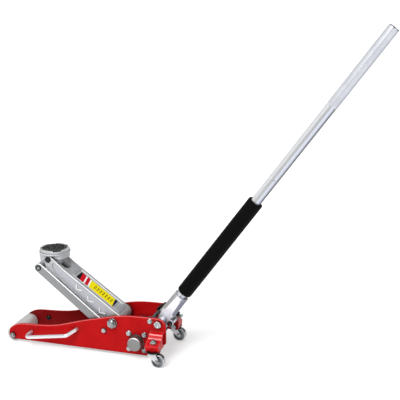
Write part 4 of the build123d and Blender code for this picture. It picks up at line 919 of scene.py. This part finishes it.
def join(name: str, objs: Sequence[Piece]) -> Piece:
    """Join objects into one piece.

    Args:
        name: the piece's name.
        objs: the objects, which are used up.

    Returns:
        The piece.
    """
    clear_selection()
    for obj in objs:
        obj.select_set(True)
    bpy.context.view_layer.objects.active = objs[0]
    if len(objs) > 1:
        bpy.ops.object.join()
    objs[0].name = name
    return objs[0]


def seat(place: Sequence[float], axis: Sequence[float], spin: float = 0.0) -> Matrix:
    """Give the placement of a piece modelled along Z.

    Args:
        place: where its origin goes, in millimetres.
        axis: where its Z axis points.
        spin: a turn about that axis, in degrees.

    Returns:
        The placement in metres.
    """
    turn = Vector(axis).to_track_quat("Z", "Y").to_matrix().to_4x4()
    return Matrix.Translation(Vector(place) * MM) @ turn @ Matrix.Rotation(math.radians(spin), 4, "Z")


def set_down(obj: Piece, place: Matrix) -> Piece:
    """Move a piece to its placement and leave its object at the origin.

    Args:
        obj: the piece to move.
        place: its placement in metres.

    Returns:
        The same piece.
    """
    take(obj)
    obj.matrix_world = place
    bpy.ops.object.transform_apply(location=True, rotation=True, scale=True)
    return obj


def twin(model: Piece, name: str) -> Piece:
    """Copy a piece, with a mesh of its own.

    Args:
        model: the piece to copy.
        name: the copy's name.

    Returns:
        The copy.
    """
    copy = model.copy()
    copy.data = model.data.copy()
    copy.name = name
    bpy.context.scene.collection.objects.link(copy)
    return copy


def spread(name: str, model: Piece, places: Sequence[Matrix]) -> Piece:
    """Copy a model to several places, each with its own mesh, and join the copies as one set.

    Args:
        name: the set's name.
        model: the piece to copy, which is used up.
        places: a placement for each copy.

    Returns:
        The joined set.
    """
    copies = [set_down(twin(model, f"{name}_{index}"), place) for index, place in enumerate(places)]
    bpy.data.objects.remove(model)
    return join(name, copies)


def mirrored(half: Steps) -> Steps:
    """Give the steps of a profile's other half, mirrored about its middle."""
    return [(-along, radius) for along, radius in reversed(half)]


def joint(name: str) -> dict:
    """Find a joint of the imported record."""
    return next(row for row in frame["joints"] if row["name"] == name)


def joint_place(name: str) -> Vector:
    """Give the place of a joint, in millimetres."""
    return Vector(joint(name)["pos_m"]) / MM


@dataclass(frozen=True)
class Places:
    """Where the jack's axes lie, in millimetres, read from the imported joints."""

    axle: Vector
    lift: Vector
    link: Vector
    saddle: Vector
    socket: Vector
    rod: Vector
    plate_outer: float = 68.0
    arm_half: float = 43.5
    link_face: float = 55.5

    @classmethod
    def read(cls) -> "Places":
        """Read the places from the frame."""
        names = ("front_roller_spin", "lift_hinge", "link_hinge", "saddle_level_hinge", "handle_hinge",
                 "handle_spring_turn")
        return cls(*(joint_place(name) for name in names))

    @property
    def link_front(self) -> Vector:
        """Give the front pivot of the links, which lies as far from the arm's as the rear one does."""
        return self.saddle + self.link - self.lift

    @property
    def handle_along(self) -> Vector:
        """Give the direction of the handle."""
        return Vector(joint("handle_twist")["axis"]).normalized()

    @property
    def handle_back(self) -> Vector:
        """Give the direction square to the handle, to the rear."""
        return Vector((self.handle_along.z, 0.0, -self.handle_along.x))

    def on_handle(self, along: float, back: float = 0.0) -> Vector:
        """Give a point along the handle and square to it."""
        return self.socket + self.handle_along * along + self.handle_back * back


class HeadKind(Enum):
    """The kinds of bolt head and nut on the jack."""

    BOLT = "bolt head with a sunk middle"
    FLANGED = "bolt head on a flange"
    NUT = "plain nut"
    LOCKNUT = "nut with a locking collar"


@dataclass(frozen=True)
class Fastener:
    """A bolt or nut, modelled along Z with its seat on the origin. Sizes are in millimetres.

    flange, bore and shank are radii. collar_share is a locking collar's part of the height, and dish_rim and
    dish_depth are a bolt head's rim and dish as shares of its flats.
    """

    kind: HeadKind
    flats: float
    height: float
    flange: float = 0.0
    flange_height: float = 1.6
    bore: float = 0.0
    shank: float = 0.0
    shank_length: float = 0.0
    collar_share: float = 0.22
    dish_rim: float = 0.16
    dish_depth: float = 0.05

    def model(self) -> Piece:
        """Model the fastener.

        Returns:
            The fastener as one object.
        """
        nut = self.kind in (HeadKind.NUT, HeadKind.LOCKNUT)
        low = self.flange_height * 0.8 if self.flange else 0.0
        collar = self.collar_share * self.height if self.kind is HeadKind.LOCKNUT else 0.0
        head = hex_body("hexagon", self.flats, low, self.height - collar, self.bore, nut and not self.flange)
        if not nut:
            head = dish(head, self.dish_rim * self.flats, self.dish_depth * self.flats)
        parts = [head]
        if self.flange:
            rim, foot = self.flange, self.flange_height
            steps = [(0.0, rim - 0.4), (0.4, rim), (0.6 * foot, rim), (foot, rim - 0.9), (foot, 0.4 * self.flats)]
            if self.bore:
                steps = [(0.0, self.bore)] + steps + [(foot, self.bore), (0.0, self.bore)]
            parts.append(turned("flange", steps, ring=bool(self.bore)))
        if collar:
            wide, top, foot = 0.42 * self.flats, self.height, self.height - 1.3 * collar
            steps = [(foot, self.bore), (foot, wide), (top - 0.4 * collar, wide), (top, 0.86 * wide),
                     (top, self.bore), (foot, self.bore)]
            parts.append(turned("collar", steps, ring=True))
        if self.shank:
            end = -self.shank_length
            steps = [(end, self.shank - 0.8), (end + 0.8, self.shank), (0.2, self.shank)]
            parts.append(turned("shank", steps, segments=32))
        return join("fastener", parts)


@dataclass
class Assembly:
    """A group of the jack's pieces, with the places of its axes and the paintbox. Sizes are in millimetres."""

    places: Places
    box: Paintbox

    def build(self) -> None:
        """Model, place and dress the pieces."""
        raise NotImplementedError


@dataclass
class Hardware(Assembly):
    """Bolts, nuts, pins and collars of the frame and the linkage.

    base_x and base_z run from the front axle to the middle of the base bolts, which stand base_half from it.
    lock_along, lock_face and lock_reach place the lock screw along the handle, its nut's seat and its head.
    """

    base_x: float = 437.5
    base_z: float = 31.0
    base_half: float = 26.0
    lock_along: float = 37.0
    lock_face: float = 24.62
    lock_reach: float = 12.0

    def across(self, place: Vector, face: float, spin: float = 0.0) -> List[Matrix]:
        """Give placements on both sides of the jack, facing outwards.

        Args:
            place: a point on the axis.
            face: distance of the seat from the middle plane.
            spin: a turn about the axis, in degrees.

        Returns:
            A placement for each side.
        """
        return [seat((place.x, side * face, place.z), (0.0, side, 0.0), spin) for side in SIDES.values()]

    def frame_fasteners(self) -> None:
        """Model the fasteners on the outside of the side plates."""
        p, face = self.places, self.places.plate_outer
        ends = (-self.base_half, self.base_half)
        corners = [p.axle + Vector((self.base_x + x, 0.0, self.base_z + z)) for x in ends for z in ends]
        sets = (
            ("base_bolt_set", "base_bolts",
             Fastener(HeadKind.FLANGED, 13.0, 6.0, flange=9.0, flange_height=1.8, shank=4.0, shank_length=14.0),
             [m for i, corner in enumerate(corners) for m in self.across(corner, face, spin=17.0 * i)]),
            ("front_axle_nut_set", "front_axle_nuts", Fastener(HeadKind.LOCKNUT, 17.0, 8.0, bore=6.05),
             self.across(p.axle, face, spin=10.0)),
            ("lift_pivot_nut_set", "lift_pivot_nuts",
             Fastener(HeadKind.LOCKNUT, 27.0, 13.0, flange=16.0, flange_height=2.0, bore=9.05),
             self.across(p.lift, face, spin=5.0)),
            ("link_pivot_nut_set", "link_pivot_nuts", Fastener(HeadKind.LOCKNUT, 14.0, 6.5, bore=6.05),
             self.across(p.link, face, spin=22.0)),
            ("socket_pivot_bolt_set", "socket_pivot_bolts",
             Fastener(HeadKind.BOLT, 22.0, 7.0, shank=7.0, shank_length=44.0),
             self.across(p.socket, face, spin=12.0)),
            ("cross_rod_bolt_set", "cross_rod_bolts",
             Fastener(HeadKind.FLANGED, 13.0, 5.5, flange=8.5, flange_height=1.5, shank=4.0, shank_length=12.0),
             self.across(p.rod, face, spin=20.0)),
        )
        for name, node, fastener, where in sets:
            self.box.dress(spread(name, fastener.model(), where), "chassis", "bright_zinc", node)

    def linkage_fasteners(self) -> None:
        """Model the pivot bolts of the saddle, and the caps and washers of the links' front pin."""
        p = self.places
        pins = Fastener(HeadKind.BOLT, 19.0, 3.0, shank=8.0, shank_length=26.0)
        where = self.across(p.saddle, p.arm_half, spin=21.0)
        self.box.dress(spread("saddle_pivot_bolt_set", pins.model(), where), "lift_arm", "black_oxide",
                       "saddle_pivot_pins")
        where = self.across(p.link_front, p.link_face)
        cap = turned("cap", [(0.0, 5.4), (1.0, 5.4), (1.6, 4.6), (1.9, 2.6), (2.0, 0.4)], segments=40)
        self.box.dress(spread("saddle_link_cap_set", cap, where), "saddle_bracket", "bright_zinc",
                       "saddle_link_caps")
        washer = turned("washer", [(0.0, 5.6), (0.0, 9.2), (0.4, 9.4), (0.8, 9.4), (1.2, 8.8), (1.2, 6.4),
                                   (0.7, 5.6), (0.0, 5.6)], ring=True)
        self.box.dress(spread("saddle_link_washer_set", washer, where), "saddle_bracket", "black_oxide")

    def lock_screw(self) -> None:
        """Model the screw that holds the handle in its socket, with its jam nut."""
        p = self.places
        seat_height = self.lock_face + self.lock_reach
        head = Fastener(HeadKind.BOLT, 16.0, 7.0).model()
        head = set_down(head, Matrix.Translation((0.0, 0.0, seat_height * MM)))
        end = seat_height + 0.2
        steps = [(16.5, 3.6), (17.5, 4.2)] + threaded(18.0, end, radius=5.0) + [(end, 4.4)]
        thread = turned("thread", steps, segments=32)
        place = seat(p.on_handle(self.lock_along), p.handle_back, spin=15.0)
        self.box.dress(set_down(join("lock_screw", [thread, head]), place), "handle_socket", "bright_zinc",
                       "lock_bolt")
        nut = Fastener(HeadKind.NUT, 16.0, 6.0, bore=5.05).model()
        nut.name = "lock_jam_nut"
        place = seat(p.on_handle(self.lock_along, self.lock_face), p.handle_back, spin=40.0)
        self.box.dress(set_down(nut, place), "handle_socket", "black_oxide", "lock_nut")

    def build(self) -> None:
        """Build all the hardware."""
        self.frame_fasteners()
        self.linkage_fasteners()
        self.lock_screw()


@dataclass
class CasterPair(Assembly):
    """The two swivel casters.

    radius, hub, axle, kingpin and race are radii, fork_half is half the width over the fork, and race_low,
    race_high and pad_height are heights over the floor.
    """

    radius: float = 21.5
    width: float = 18.0
    hub: float = 9.0
    axle: float = 4.0
    fork_half: float = 13.0
    kingpin: float = 5.1
    race: float = 23.0
    race_low: float = 47.3
    race_high: float = 52.0
    pad_height: float = 76.41

    def wheel(self) -> Piece:
        """Model one wheel with a crowned tread, dished faces and a hub.

        Returns:
            The wheel, along Z.
        """
        half, rim, hub, bore = self.width / 2, self.radius, self.hub, self.axle + 0.2
        outer = [(half, bore), (half, hub - 0.6), (half - 0.5, hub), (4.4, hub + 0.4), (4.0, hub + 1.2),
                 (4.0, rim - 5.6), (4.6, rim - 5.0), (half - 1.0, rim - 4.2), (half, rim - 3.4), (half, rim - 1.2),
                 (half - 0.5, rim - 0.5), (half - 1.4, rim - 0.15), (half - 4.0, rim)]
        return turned("wheel", outer + mirrored(outer) + outer[:1], segments=64, ring=True)

    def pin(self) -> Piece:
        """Model one riveted axle with domed heads.

        Returns:
            The axle, along Z.
        """
        end, reach = self.fork_half, self.axle
        head = [(end, reach), (end, reach + 2.4), (end + 0.9, reach + 2.3), (end + 2.0, reach + 1.2),
                (end + 2.7, reach - 1.2), (end + 2.9, 0.6)]
        return turned("pin", mirrored(head) + head, segments=40)

    def build(self) -> None:
        """Model and place the wheels, axles, races and kingpin nuts."""
        wheel, pin = self.wheel(), self.pin()
        for name in SIDES:
            place = seat(joint_place(f"caster_wheel_spin_{name}"), ACROSS)
            self.box.dress(set_down(twin(wheel, f"caster_roller_{name}"), place), f"caster_wheel_{name}",
                           "plated_wheel", f"caster_wheel_{name}")
            self.box.dress(set_down(twin(pin, f"caster_rivet_{name}"), place), f"caster_{name}", "bright_zinc",
                           f"caster_axle_{name}")
        bpy.data.objects.remove(wheel)
        bpy.data.objects.remove(pin)
        tops = [joint_place(f"caster_swivel_{name}") for name in SIDES]
        low, high, rim, bore = self.race_low, self.race_high, self.race, self.kingpin
        race = turned("race", [(low, bore), (low, rim - 3.4), (low + 0.8, rim - 2.2), (low + 1.2, rim - 2.0),
                               (low + 1.4, rim - 0.6), (low + 2.0, rim), (high - 0.8, rim), (high, rim - 0.8),
                               (high, bore), (low, bore)], segments=72, ring=True)
        where = [seat((top.x, top.y, 0.0), UP) for top in tops]
        self.box.dress(spread("caster_race_set", race, where), "chassis", "black_oxide", "caster_races")
        nut = Fastener(HeadKind.LOCKNUT, 17.0, 10.0, flange=8.5, flange_height=1.6, bore=5.05).model()
        where = [seat((top.x, top.y, self.pad_height), UP, spin=10.0) for top in tops]
        self.box.dress(spread("caster_nut_set", nut, where), "chassis", "bright_zinc", "caster_nuts")


@dataclass
class Handle(Assembly):
    """The two-piece handle: foam grip, knurled end, seam and snap button.

    tube, grip, knurl_base and button are radii. The lows and highs and the seam are places along the handle, from
    its pivot. swell is how much fuller the foam is at even steps between its ends, which are grip_end long, and
    knurl_rows and knurl_round count the knurl's points along the tube and round it.
    """

    tube: float = 16.0
    grip_low: float = 111.0
    grip_high: float = 500.0
    grip: float = 24.3
    grip_end: float = 15.0
    swell: Tuple[float, ...] = (0.0, 0.12, 0.05, 0.16, 0.10, 0.2, 0.12, 0.18, 0.06, 0.14, 0.04, 0.1, 0.0)
    seam: float = 591.0
    knurl_low: float = 869.0
    knurl_high: float = 1143.0
    knurl_rows: int = 92
    knurl_round: int = 44
    knurl_base: float = 16.44
    knurl_height: float = 0.45
    knurl_wall: float = 0.7
    button: float = 3.9

    def upright(self, obj: Piece) -> Piece:
        """Lay a piece modelled along Z on the handle's axis."""
        return set_down(obj, seat(self.places.socket, self.places.handle_along))

    def foam_sleeve(self) -> None:
        """Model the foam grip: a stretched sleeve, a little fuller in the middle, with soft rolled ends."""
        low, high, rim, bore = self.grip_low, self.grip_high, self.grip, self.tube + 0.05
        steps = [(low + 1.6, bore), (low + 0.3, bore + 1.6), (low, bore + 3.0), (low + 0.5, rim - 1.6),
                 (low + 1.8, rim - 0.5), (low + 4.2, rim - 0.1), (low + 9.0, rim)]
        run = (high - low - 2 * self.grip_end) / (len(self.swell) - 1)
        body = [(low + self.grip_end + run * i, rim + more) for i, more in enumerate(self.swell)]
        upper = [(low + high - along, radius) for along, radius in reversed(steps)]
        sleeve = turned("foam_sleeve", steps + body + upper + steps[:1], segments=72, ring=True)
        apply_modifier(sleeve, "SUBSURF", levels=1, render_levels=1)
        self.box.dress(self.upright(settle(sleeve, angle=60.0)), "handle", "cell_foam", "foam_grip")

    def is_tip(self, vertex: bpy.types.MeshVertex) -> bool:
        """Tell whether a vertex is a diamond's tip: every other one of each inner row of the outer skin.

        Args:
            vertex: a vertex of the knurled sleeve.

        Returns:
            True for a tip.
        """
        row = round((vertex.co.z / MM - self.knurl_low) / (self.knurl_high - self.knurl_low) * self.knurl_rows)
        turn = round(math.atan2(vertex.co.y, vertex.co.x) / math.tau * self.knurl_round)
        outer = math.hypot(vertex.co.x, vertex.co.y) / MM > self.knurl_base
        return outer and 0 < row < self.knurl_rows and (row + turn) % 2 == 0

    def knurled_end(self) -> None:
        """Model the knurled upper end: a thin sleeve whose vertices stand up in a diamond pattern."""
        low, high, count = self.knurl_low, self.knurl_high, self.knurl_rows
        skin, bore = self.knurl_base + 0.02, self.knurl_base - self.knurl_wall
        rows = [(low + (high - low) * i / count, skin) for i in range(count + 1)]
        steps = [(low, bore)] + rows + [(high, bore), (low, bore)]
        sleeve = turned("knurled_sleeve", steps, segments=self.knurl_round, ring=True)
        pick(sleeve, Element.POINTS, self.is_tip)
        bpy.ops.transform.shrink_fatten(value=self.knurl_height * MM)
        sleeve = settle(sleeve, angle=12.0, gap=0.02)
        self.box.dress(self.upright(sleeve), "handle", "knurled_aluminium")

    def seam_ring(self) -> None:
        """Model the rolled lip where the upper tube meets the lower one."""
        lip = [(0.2, 0.1), (0.5, 0.7), (1.8, 0.5), (2.2, 0.0), (2.2, -0.2)]
        steps = [(self.seam + along, self.tube + out) for along, out in mirrored(lip) + lip]
        ring = turned("handle_seam_ring", steps + steps[:1], segments=64, ring=True)
        self.box.dress(self.upright(ring), "handle", "drawn_aluminium")

    def snap_button(self) -> None:
        """Model the domed button that locks the tubes together."""
        low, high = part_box("snap_button")
        middle = (low + high) / 2 / MM
        side = 1.0 if abs(high.y) > abs(low.y) else -1.0
        foot, tip = sorted((abs(low.y) / MM, abs(high.y) / MM))
        rim = self.button
        steps = [(foot, rim), (tip - 1.9, rim), (tip - 0.9, rim - 0.4), (tip - 0.3, rim - 1.4), (tip, rim - 3.1)]
        place = seat((middle.x, 0.0, middle.z), (0.0, side, 0.0))
        button = turned("handle_button", steps, segments=36)
        self.box.dress(set_down(button, place), "handle", "bright_zinc", "snap_button")

    def build(self) -> None:
        """Build all the pieces of the handle."""
        self.foam_sleeve()
        self.knurled_end()
        self.seam_ring()
        self.snap_button()


@dataclass
class SaddleTop(Assembly):
    """The rubber pad in the saddle: rings of raised blocks on a thin disc.

    rings are the inner and outer radius of each ring, with the number of its blocks, and block_share is how much of
    a ring they fill. The blocks stand by rise over the disc, with edges block_slope wide and block_crown high.
    """

    radius: float = 39.8
    rise: float = 2.0
    rings: Tuple[Tuple[float, float, int], ...] = ((7.0, 10.0, 8), (15.0, 18.0, 16), (23.0, 26.0, 24),
                                                   (31.0, 34.0, 32))
    block_share: float = 0.67
    block_slope: float = 0.35
    block_crown: float = 0.3
    segments: int = 192

    def build(self) -> None:
        """Model the disc, raise its blocks and set it in the saddle."""
        low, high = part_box("saddle_pad")
        middle, floor, top, rim = (low + high) / 2, low.z / MM, high.z / MM, self.radius
        land = top - self.rise
        steps = [(floor, rim), (top - 0.8, rim), (top, rim - 0.8), (top, rim - 3.0), (land, rim - 3.4)]
        for inner, outer, _ in reversed(self.rings):
            steps += [(land, outer), (land, inner)]
        pad = turned("saddle_rubber", steps, self.segments)
        pick(pad, Element.FACES, lambda face: self.is_block(face, land))
        lift = (self.rise - self.block_crown) * MM
        bpy.ops.mesh.extrude_region_move(TRANSFORM_OT_translate={"value": (0.0, 0.0, lift)})
        bpy.ops.mesh.inset(thickness=self.block_slope * MM, depth=self.block_crown * MM)
        place = Matrix.Translation((middle.x, middle.y, 0.0))
        self.box.dress(set_down(settle(pad, angle=30.0), place), "saddle", "moulded_rubber", "saddle_pad")

    def is_block(self, face: bpy.types.MeshPolygon, land: float) -> bool:
        """Tell whether a face of the disc lies under a raised block.

        Args:
            face: a face of the disc.
            land: the height between the blocks.

        Returns:
            True for a face under a block.
        """
        if face.normal.z < FLAT_TOP or abs(face.center.z / MM - land) > 0.05:
            return False
        away = math.hypot(face.center.x, face.center.y) / MM
        turn = math.atan2(face.center.y, face.center.x) / math.tau
        return any(inner < away < outer and (turn * count) % 1.0 < self.block_share
                   for inner, outer, count in self.rings)


@dataclass
class ArmPanel(Assembly):
    """The printed film on top of the arm and the low rim round it.

    film and rim are areas on the arm: the rear and front ends along it, and the near and far edges. top is the
    height of the arm's top over the pivot, lean is the arm's slope in degrees, and tilt is how much less its top
    rises.
    """

    film: Area = (36.0, 189.0, -26.0, 19.5)
    film_gap: float = 0.03
    corner: float = 3.0
    thickness: float = 0.25
    rim: Area = (16.0, 199.0, -27.0, 27.0)
    rim_height: float = 3.2
    near_height: float = 0.5
    rim_slope: float = 5.0
    rear_run: float = 8.0
    top: float = 23.03
    lean: float = 38.5
    tilt: float = 3.06

    def sheet(self, name: str, area: Area, grow: float, corner: float) -> Piece:
        """Lay out a flat sheet with round corners.

        Args:
            name: the object's name.
            area: its rear and front ends along the arm, and its near and far edges.
            grow: how much it is larger than that on every side.
            corner: radius of its corners.

        Returns:
            The sheet, about the origin.
        """
        rear, front, near, far = area
        clear_selection()
        bpy.ops.mesh.primitive_plane_add(size=1.0)
        obj = bpy.context.object
        obj.name = name
        obj.scale = ((front - rear + 2 * grow) * MM, (far - near + 2 * grow) * MM, 1.0)
        bpy.ops.object.transform_apply(location=True, rotation=True, scale=True)
        bpy.ops.object.mode_set(mode="EDIT")
        bpy.ops.mesh.select_all(action="SELECT")
        bpy.ops.mesh.bevel(offset=corner * MM, segments=5, affect="VERTICES")
        bpy.ops.object.mode_set(mode="OBJECT")
        return obj

    def tray_rim(self) -> Piece:
        """Model the rim: a low ring with a sloped outside, high on the far side, that runs out to the rear.

        Returns:
            The rim, about the origin.
        """
        rear, front, near, far = self.rim
        height = self.rim_height * MM
        rim = self.sheet("arm_tray_rim", self.rim, self.rim_slope, self.corner + self.rim_slope)
        pick(rim, Element.FACES, lambda face: True)
        bpy.ops.mesh.inset(thickness=self.rim_slope * MM, depth=0.0)
        bpy.ops.transform.translate(value=(0.0, 0.0, height))
        bpy.ops.mesh.extrude_region_move(TRANSFORM_OT_translate={"value": (0.0, 0.0, -height)})
        bpy.ops.mesh.delete(type="ONLY_FACE")
        bpy.ops.mesh.select_mode(type="EDGE")
        bpy.ops.mesh.select_all(action="DESELECT")
        bpy.ops.mesh.select_non_manifold()
        bpy.ops.mesh.bridge_edge_loops()
        rear_wall = ((rear - front) / 2 - 0.1) * MM
        pick(rim, Element.POINTS, lambda vertex: vertex.co.x < rear_wall)
        bpy.ops.transform.translate(value=(-self.rear_run * MM, 0.0, 0.0))
        pick(rim, Element.POINTS, lambda vertex: vertex.co.z > 0.5 * height)
        fall = math.atan((self.rim_height - self.near_height) / (far - near))
        bpy.ops.transform.rotate(value=fall, orient_axis="X", center_override=(0.0, (near - far) / 2 * MM, height))
        return settle(rim)

    def build(self) -> None:
        """Model the film and the rim and lay them on the arm."""
        film = self.sheet("arm_printed_panel", self.film, 0.0, self.corner)
        apply_modifier(film, "SOLIDIFY", thickness=self.thickness * MM, offset=1.0)
        place = self.placement(self.film, self.top + self.film_gap)
        self.box.dress(set_down(settle(film), place), "lift_arm", "printed_film")
        place = self.placement(self.rim, self.top)
        self.box.dress(set_down(self.tray_rim(), place), "lift_arm", "highlit_aluminium")

    def placement(self, area: Area, lift: float) -> Matrix:
        """Place a sheet on the arm: its X runs along the arm to the saddle, its Z up from the arm's top.

        Args:
            area: the sheet's rear and front ends along the arm, and its near and far edges.
            lift: the height over the pivot at which the arm's top would pass it.

        Returns:
            The placement in metres.
        """
        rear, front, near, far = area
        lean, fall = math.radians(self.lean), math.radians(self.tilt)
        along = Vector((-math.cos(lean), 0.0, math.sin(lean)))
        up = Vector((math.sin(lean), 0.0, math.cos(lean)))
        middle = (rear + front) / 2
        place = self.places.lift + along * middle + up * (lift - middle * math.tan(fall))
        x_axis = along * math.cos(fall) - up * math.sin(fall)
        z_axis = along * math.sin(fall) + up * math.cos(fall)
        y_axis = z_axis.cross(x_axis)
        shift = y_axis * (near + far) / 2 * (1.0 if y_axis.y > 0 else -1.0)
        turn = Matrix((x_axis, y_axis, z_axis)).transposed().to_4x4()
        return Matrix.Translation((place + shift) * MM) @ turn


@dataclass
class Studio:
    """White floor, soft light and the camera. Lengths are in metres, angles in degrees and power in watts.

    glow is how strongly the floor shines to the camera, near the jack and away from it, at the distances glow_span.
    sky gives the world's tone by height, from level at 0 to straight up at 1. A pale wall stands on the camera's left,
    and wall_span tells how far left its edge begins and ends. The world is darker behind the jack than ahead of it,
    by ahead_share over ahead_span. key_place is how far the key lamp hangs to the right, ahead and up of key_aim.
    """

    azimuth: float = 16.8702
    elevation: float = 15.0924
    distance: float = 2.748828
    target: Triple = (0.042641, 0.0, 0.5202)
    lens: float = 81.0
    sensor: float = 36.0
    floor_size: float = 120.0
    paper: float = 0.8
    glow: Tuple[float, float] = (0.42, 0.80)
    glow_span: Tuple[float, float] = (0.6, 2.0)
    sky: Tuple[Tuple[float, float], ...] = ((0.0, 0.85), (0.10, 0.80), (0.17, 0.30), (0.36, 0.26), (0.46, 1.00),
                                            (1.0, 1.40))
    wall: float = 1.2
    wall_span: Tuple[float, float] = (0.55, 0.85)
    world_strength: float = 0.75
    ahead_span: Tuple[float, float] = (-0.2, 0.8)
    ahead_share: Tuple[float, float] = (0.55, 1.15)
    key_aim: Triple = (-0.15, 0.0, 0.2)
    key_place: Triple = (-1.0, 1.9, 2.0)
    key_size: float = 1.3
    key_power: float = 52.0

    @property
    def right(self) -> Vector:
        """Give the direction to the camera's right."""
        turn = math.radians(self.azimuth)
        return Vector((math.cos(turn), math.sin(turn), 0.0))

    @property
    def front(self) -> Vector:
        """Give the level direction from the jack to the camera."""
        return Vector((self.right.y, -self.right.x, 0.0))

    def aim(self, name: str, data: Union[bpy.types.Camera, bpy.types.Light], target: Vector, away: Vector) -> Piece:
        """Set up a camera or a lamp that looks at a point.

        Args:
            name: the object's name.
            data: the camera or lamp.
            target: the point.
            away: where it stands, from that point.

        Returns:
            The new object.
        """
        obj = bpy.data.objects.new(name, data)
        obj.location = target + away
        obj.rotation_euler = (-away).to_track_quat("-Z", "Y").to_euler()
        bpy.context.scene.collection.objects.link(obj)
        return obj

    def camera(self) -> None:
        """Set up the camera at the photograph's view."""
        data = bpy.data.cameras.new("view")
        data.lens, data.sensor_width = self.lens, self.sensor
        rise = math.radians(self.elevation)
        toward = self.front * math.cos(rise) + Vector(UP) * math.sin(rise)
        bpy.context.scene.camera = self.aim("view", data, Vector(self.target), toward * self.distance)

    def floor(self) -> None:
        """Lay a white floor that is white to the camera and keeps the shadow."""
        clear_selection()
        bpy.ops.mesh.primitive_plane_add(size=self.floor_size)
        floor = bpy.context.object
        floor.name = "studio_floor"
        material = bpy.data.materials.new("white_paper")
        material.use_nodes = True
        tree = material.node_tree
        tree.nodes.clear()
        rays = add_node(tree, "LightPath").outputs
        seen = rays["Is Camera Ray"]
        for other in ("Is Glossy Ray", "Is Transmission Ray"):
            seen = add_node(tree, "Math", (seen, rays[other]), operation="MAXIMUM")
        paper = add_node(tree, "BsdfDiffuse", {"Color": grey(self.paper)})
        spot = add_node(tree, "VectorMath", (add_node(tree, "NewGeometry").outputs["Position"],), operation="LENGTH")
        level = add_node(tree, "MapRange", (spot, *self.glow_span, *self.glow))
        glow = add_node(tree, "Emission", {"Color": grey(1.0), "Strength": level})
        lit = add_node(tree, "AddShader", (paper, glow))
        add_node(tree, "OutputMaterial", (add_node(tree, "MixShader", (seen, paper, lit)),))
        floor.data.materials.append(material)

    def light(self) -> None:
        """Light the room softly, with a key from the upper left and a darker side for the metal to show."""
        world = bpy.data.worlds.new("studio")
        bpy.context.scene.world = world
        world.use_nodes = True
        tree = world.node_tree
        around = add_node(tree, "TexCoord").outputs["Generated"]
        height = add_node(tree, "SeparateXYZ", (around,)).outputs["Z"]
        tone = add_node(tree, "ValToRGB", (height,), [(spot, grey(value)) for spot, value in self.sky])
        leftward = add_node(tree, "VectorMath", (around, -self.right), operation="DOT_PRODUCT")
        wall = add_node(tree, "MapRange", (leftward, *self.wall_span))
        tone = add_node(tree, "Mix", {SHARE: wall, UNDER: tone, OVER: grey(self.wall)}, data_type="RGBA")
        ahead = add_node(tree, "VectorMath", (around, self.front), operation="DOT_PRODUCT")
        share = add_node(tree, "MapRange", (ahead, *self.ahead_span, *self.ahead_share))
        strength = add_node(tree, "Math", (share, self.world_strength), operation="MULTIPLY")
        feed(tree, tree.nodes["Background"], {"Color": tone, "Strength": strength})
        key = bpy.data.lights.new("key", "AREA")
        key.size, key.energy = self.key_size, self.key_power
        aside, forward, rise = self.key_place
        away = self.right * aside + self.front * forward + Vector(UP) * rise
        self.aim("key", key, Vector(self.key_aim), away)

    def build(self) -> None:
        """Set up the studio."""
        self.camera()
        self.floor()
        self.light()
        bpy.context.scene.view_settings.view_transform = "Standard"


def main() -> None:
    """Build the jack's pieces in order, then the studio, and note the sizes."""
    logging.basicConfig(level=logging.INFO, format="%(name)s %(message)s")
    places = Places.read()
    box = Paintbox()
    box.paint_nodes()
    for assembly in (Hardware, CasterPair, Handle, SaddleTop, ArmPanel):
        assembly(places, box).build()
    Studio().build()


if __name__ == "__main__":
    main()
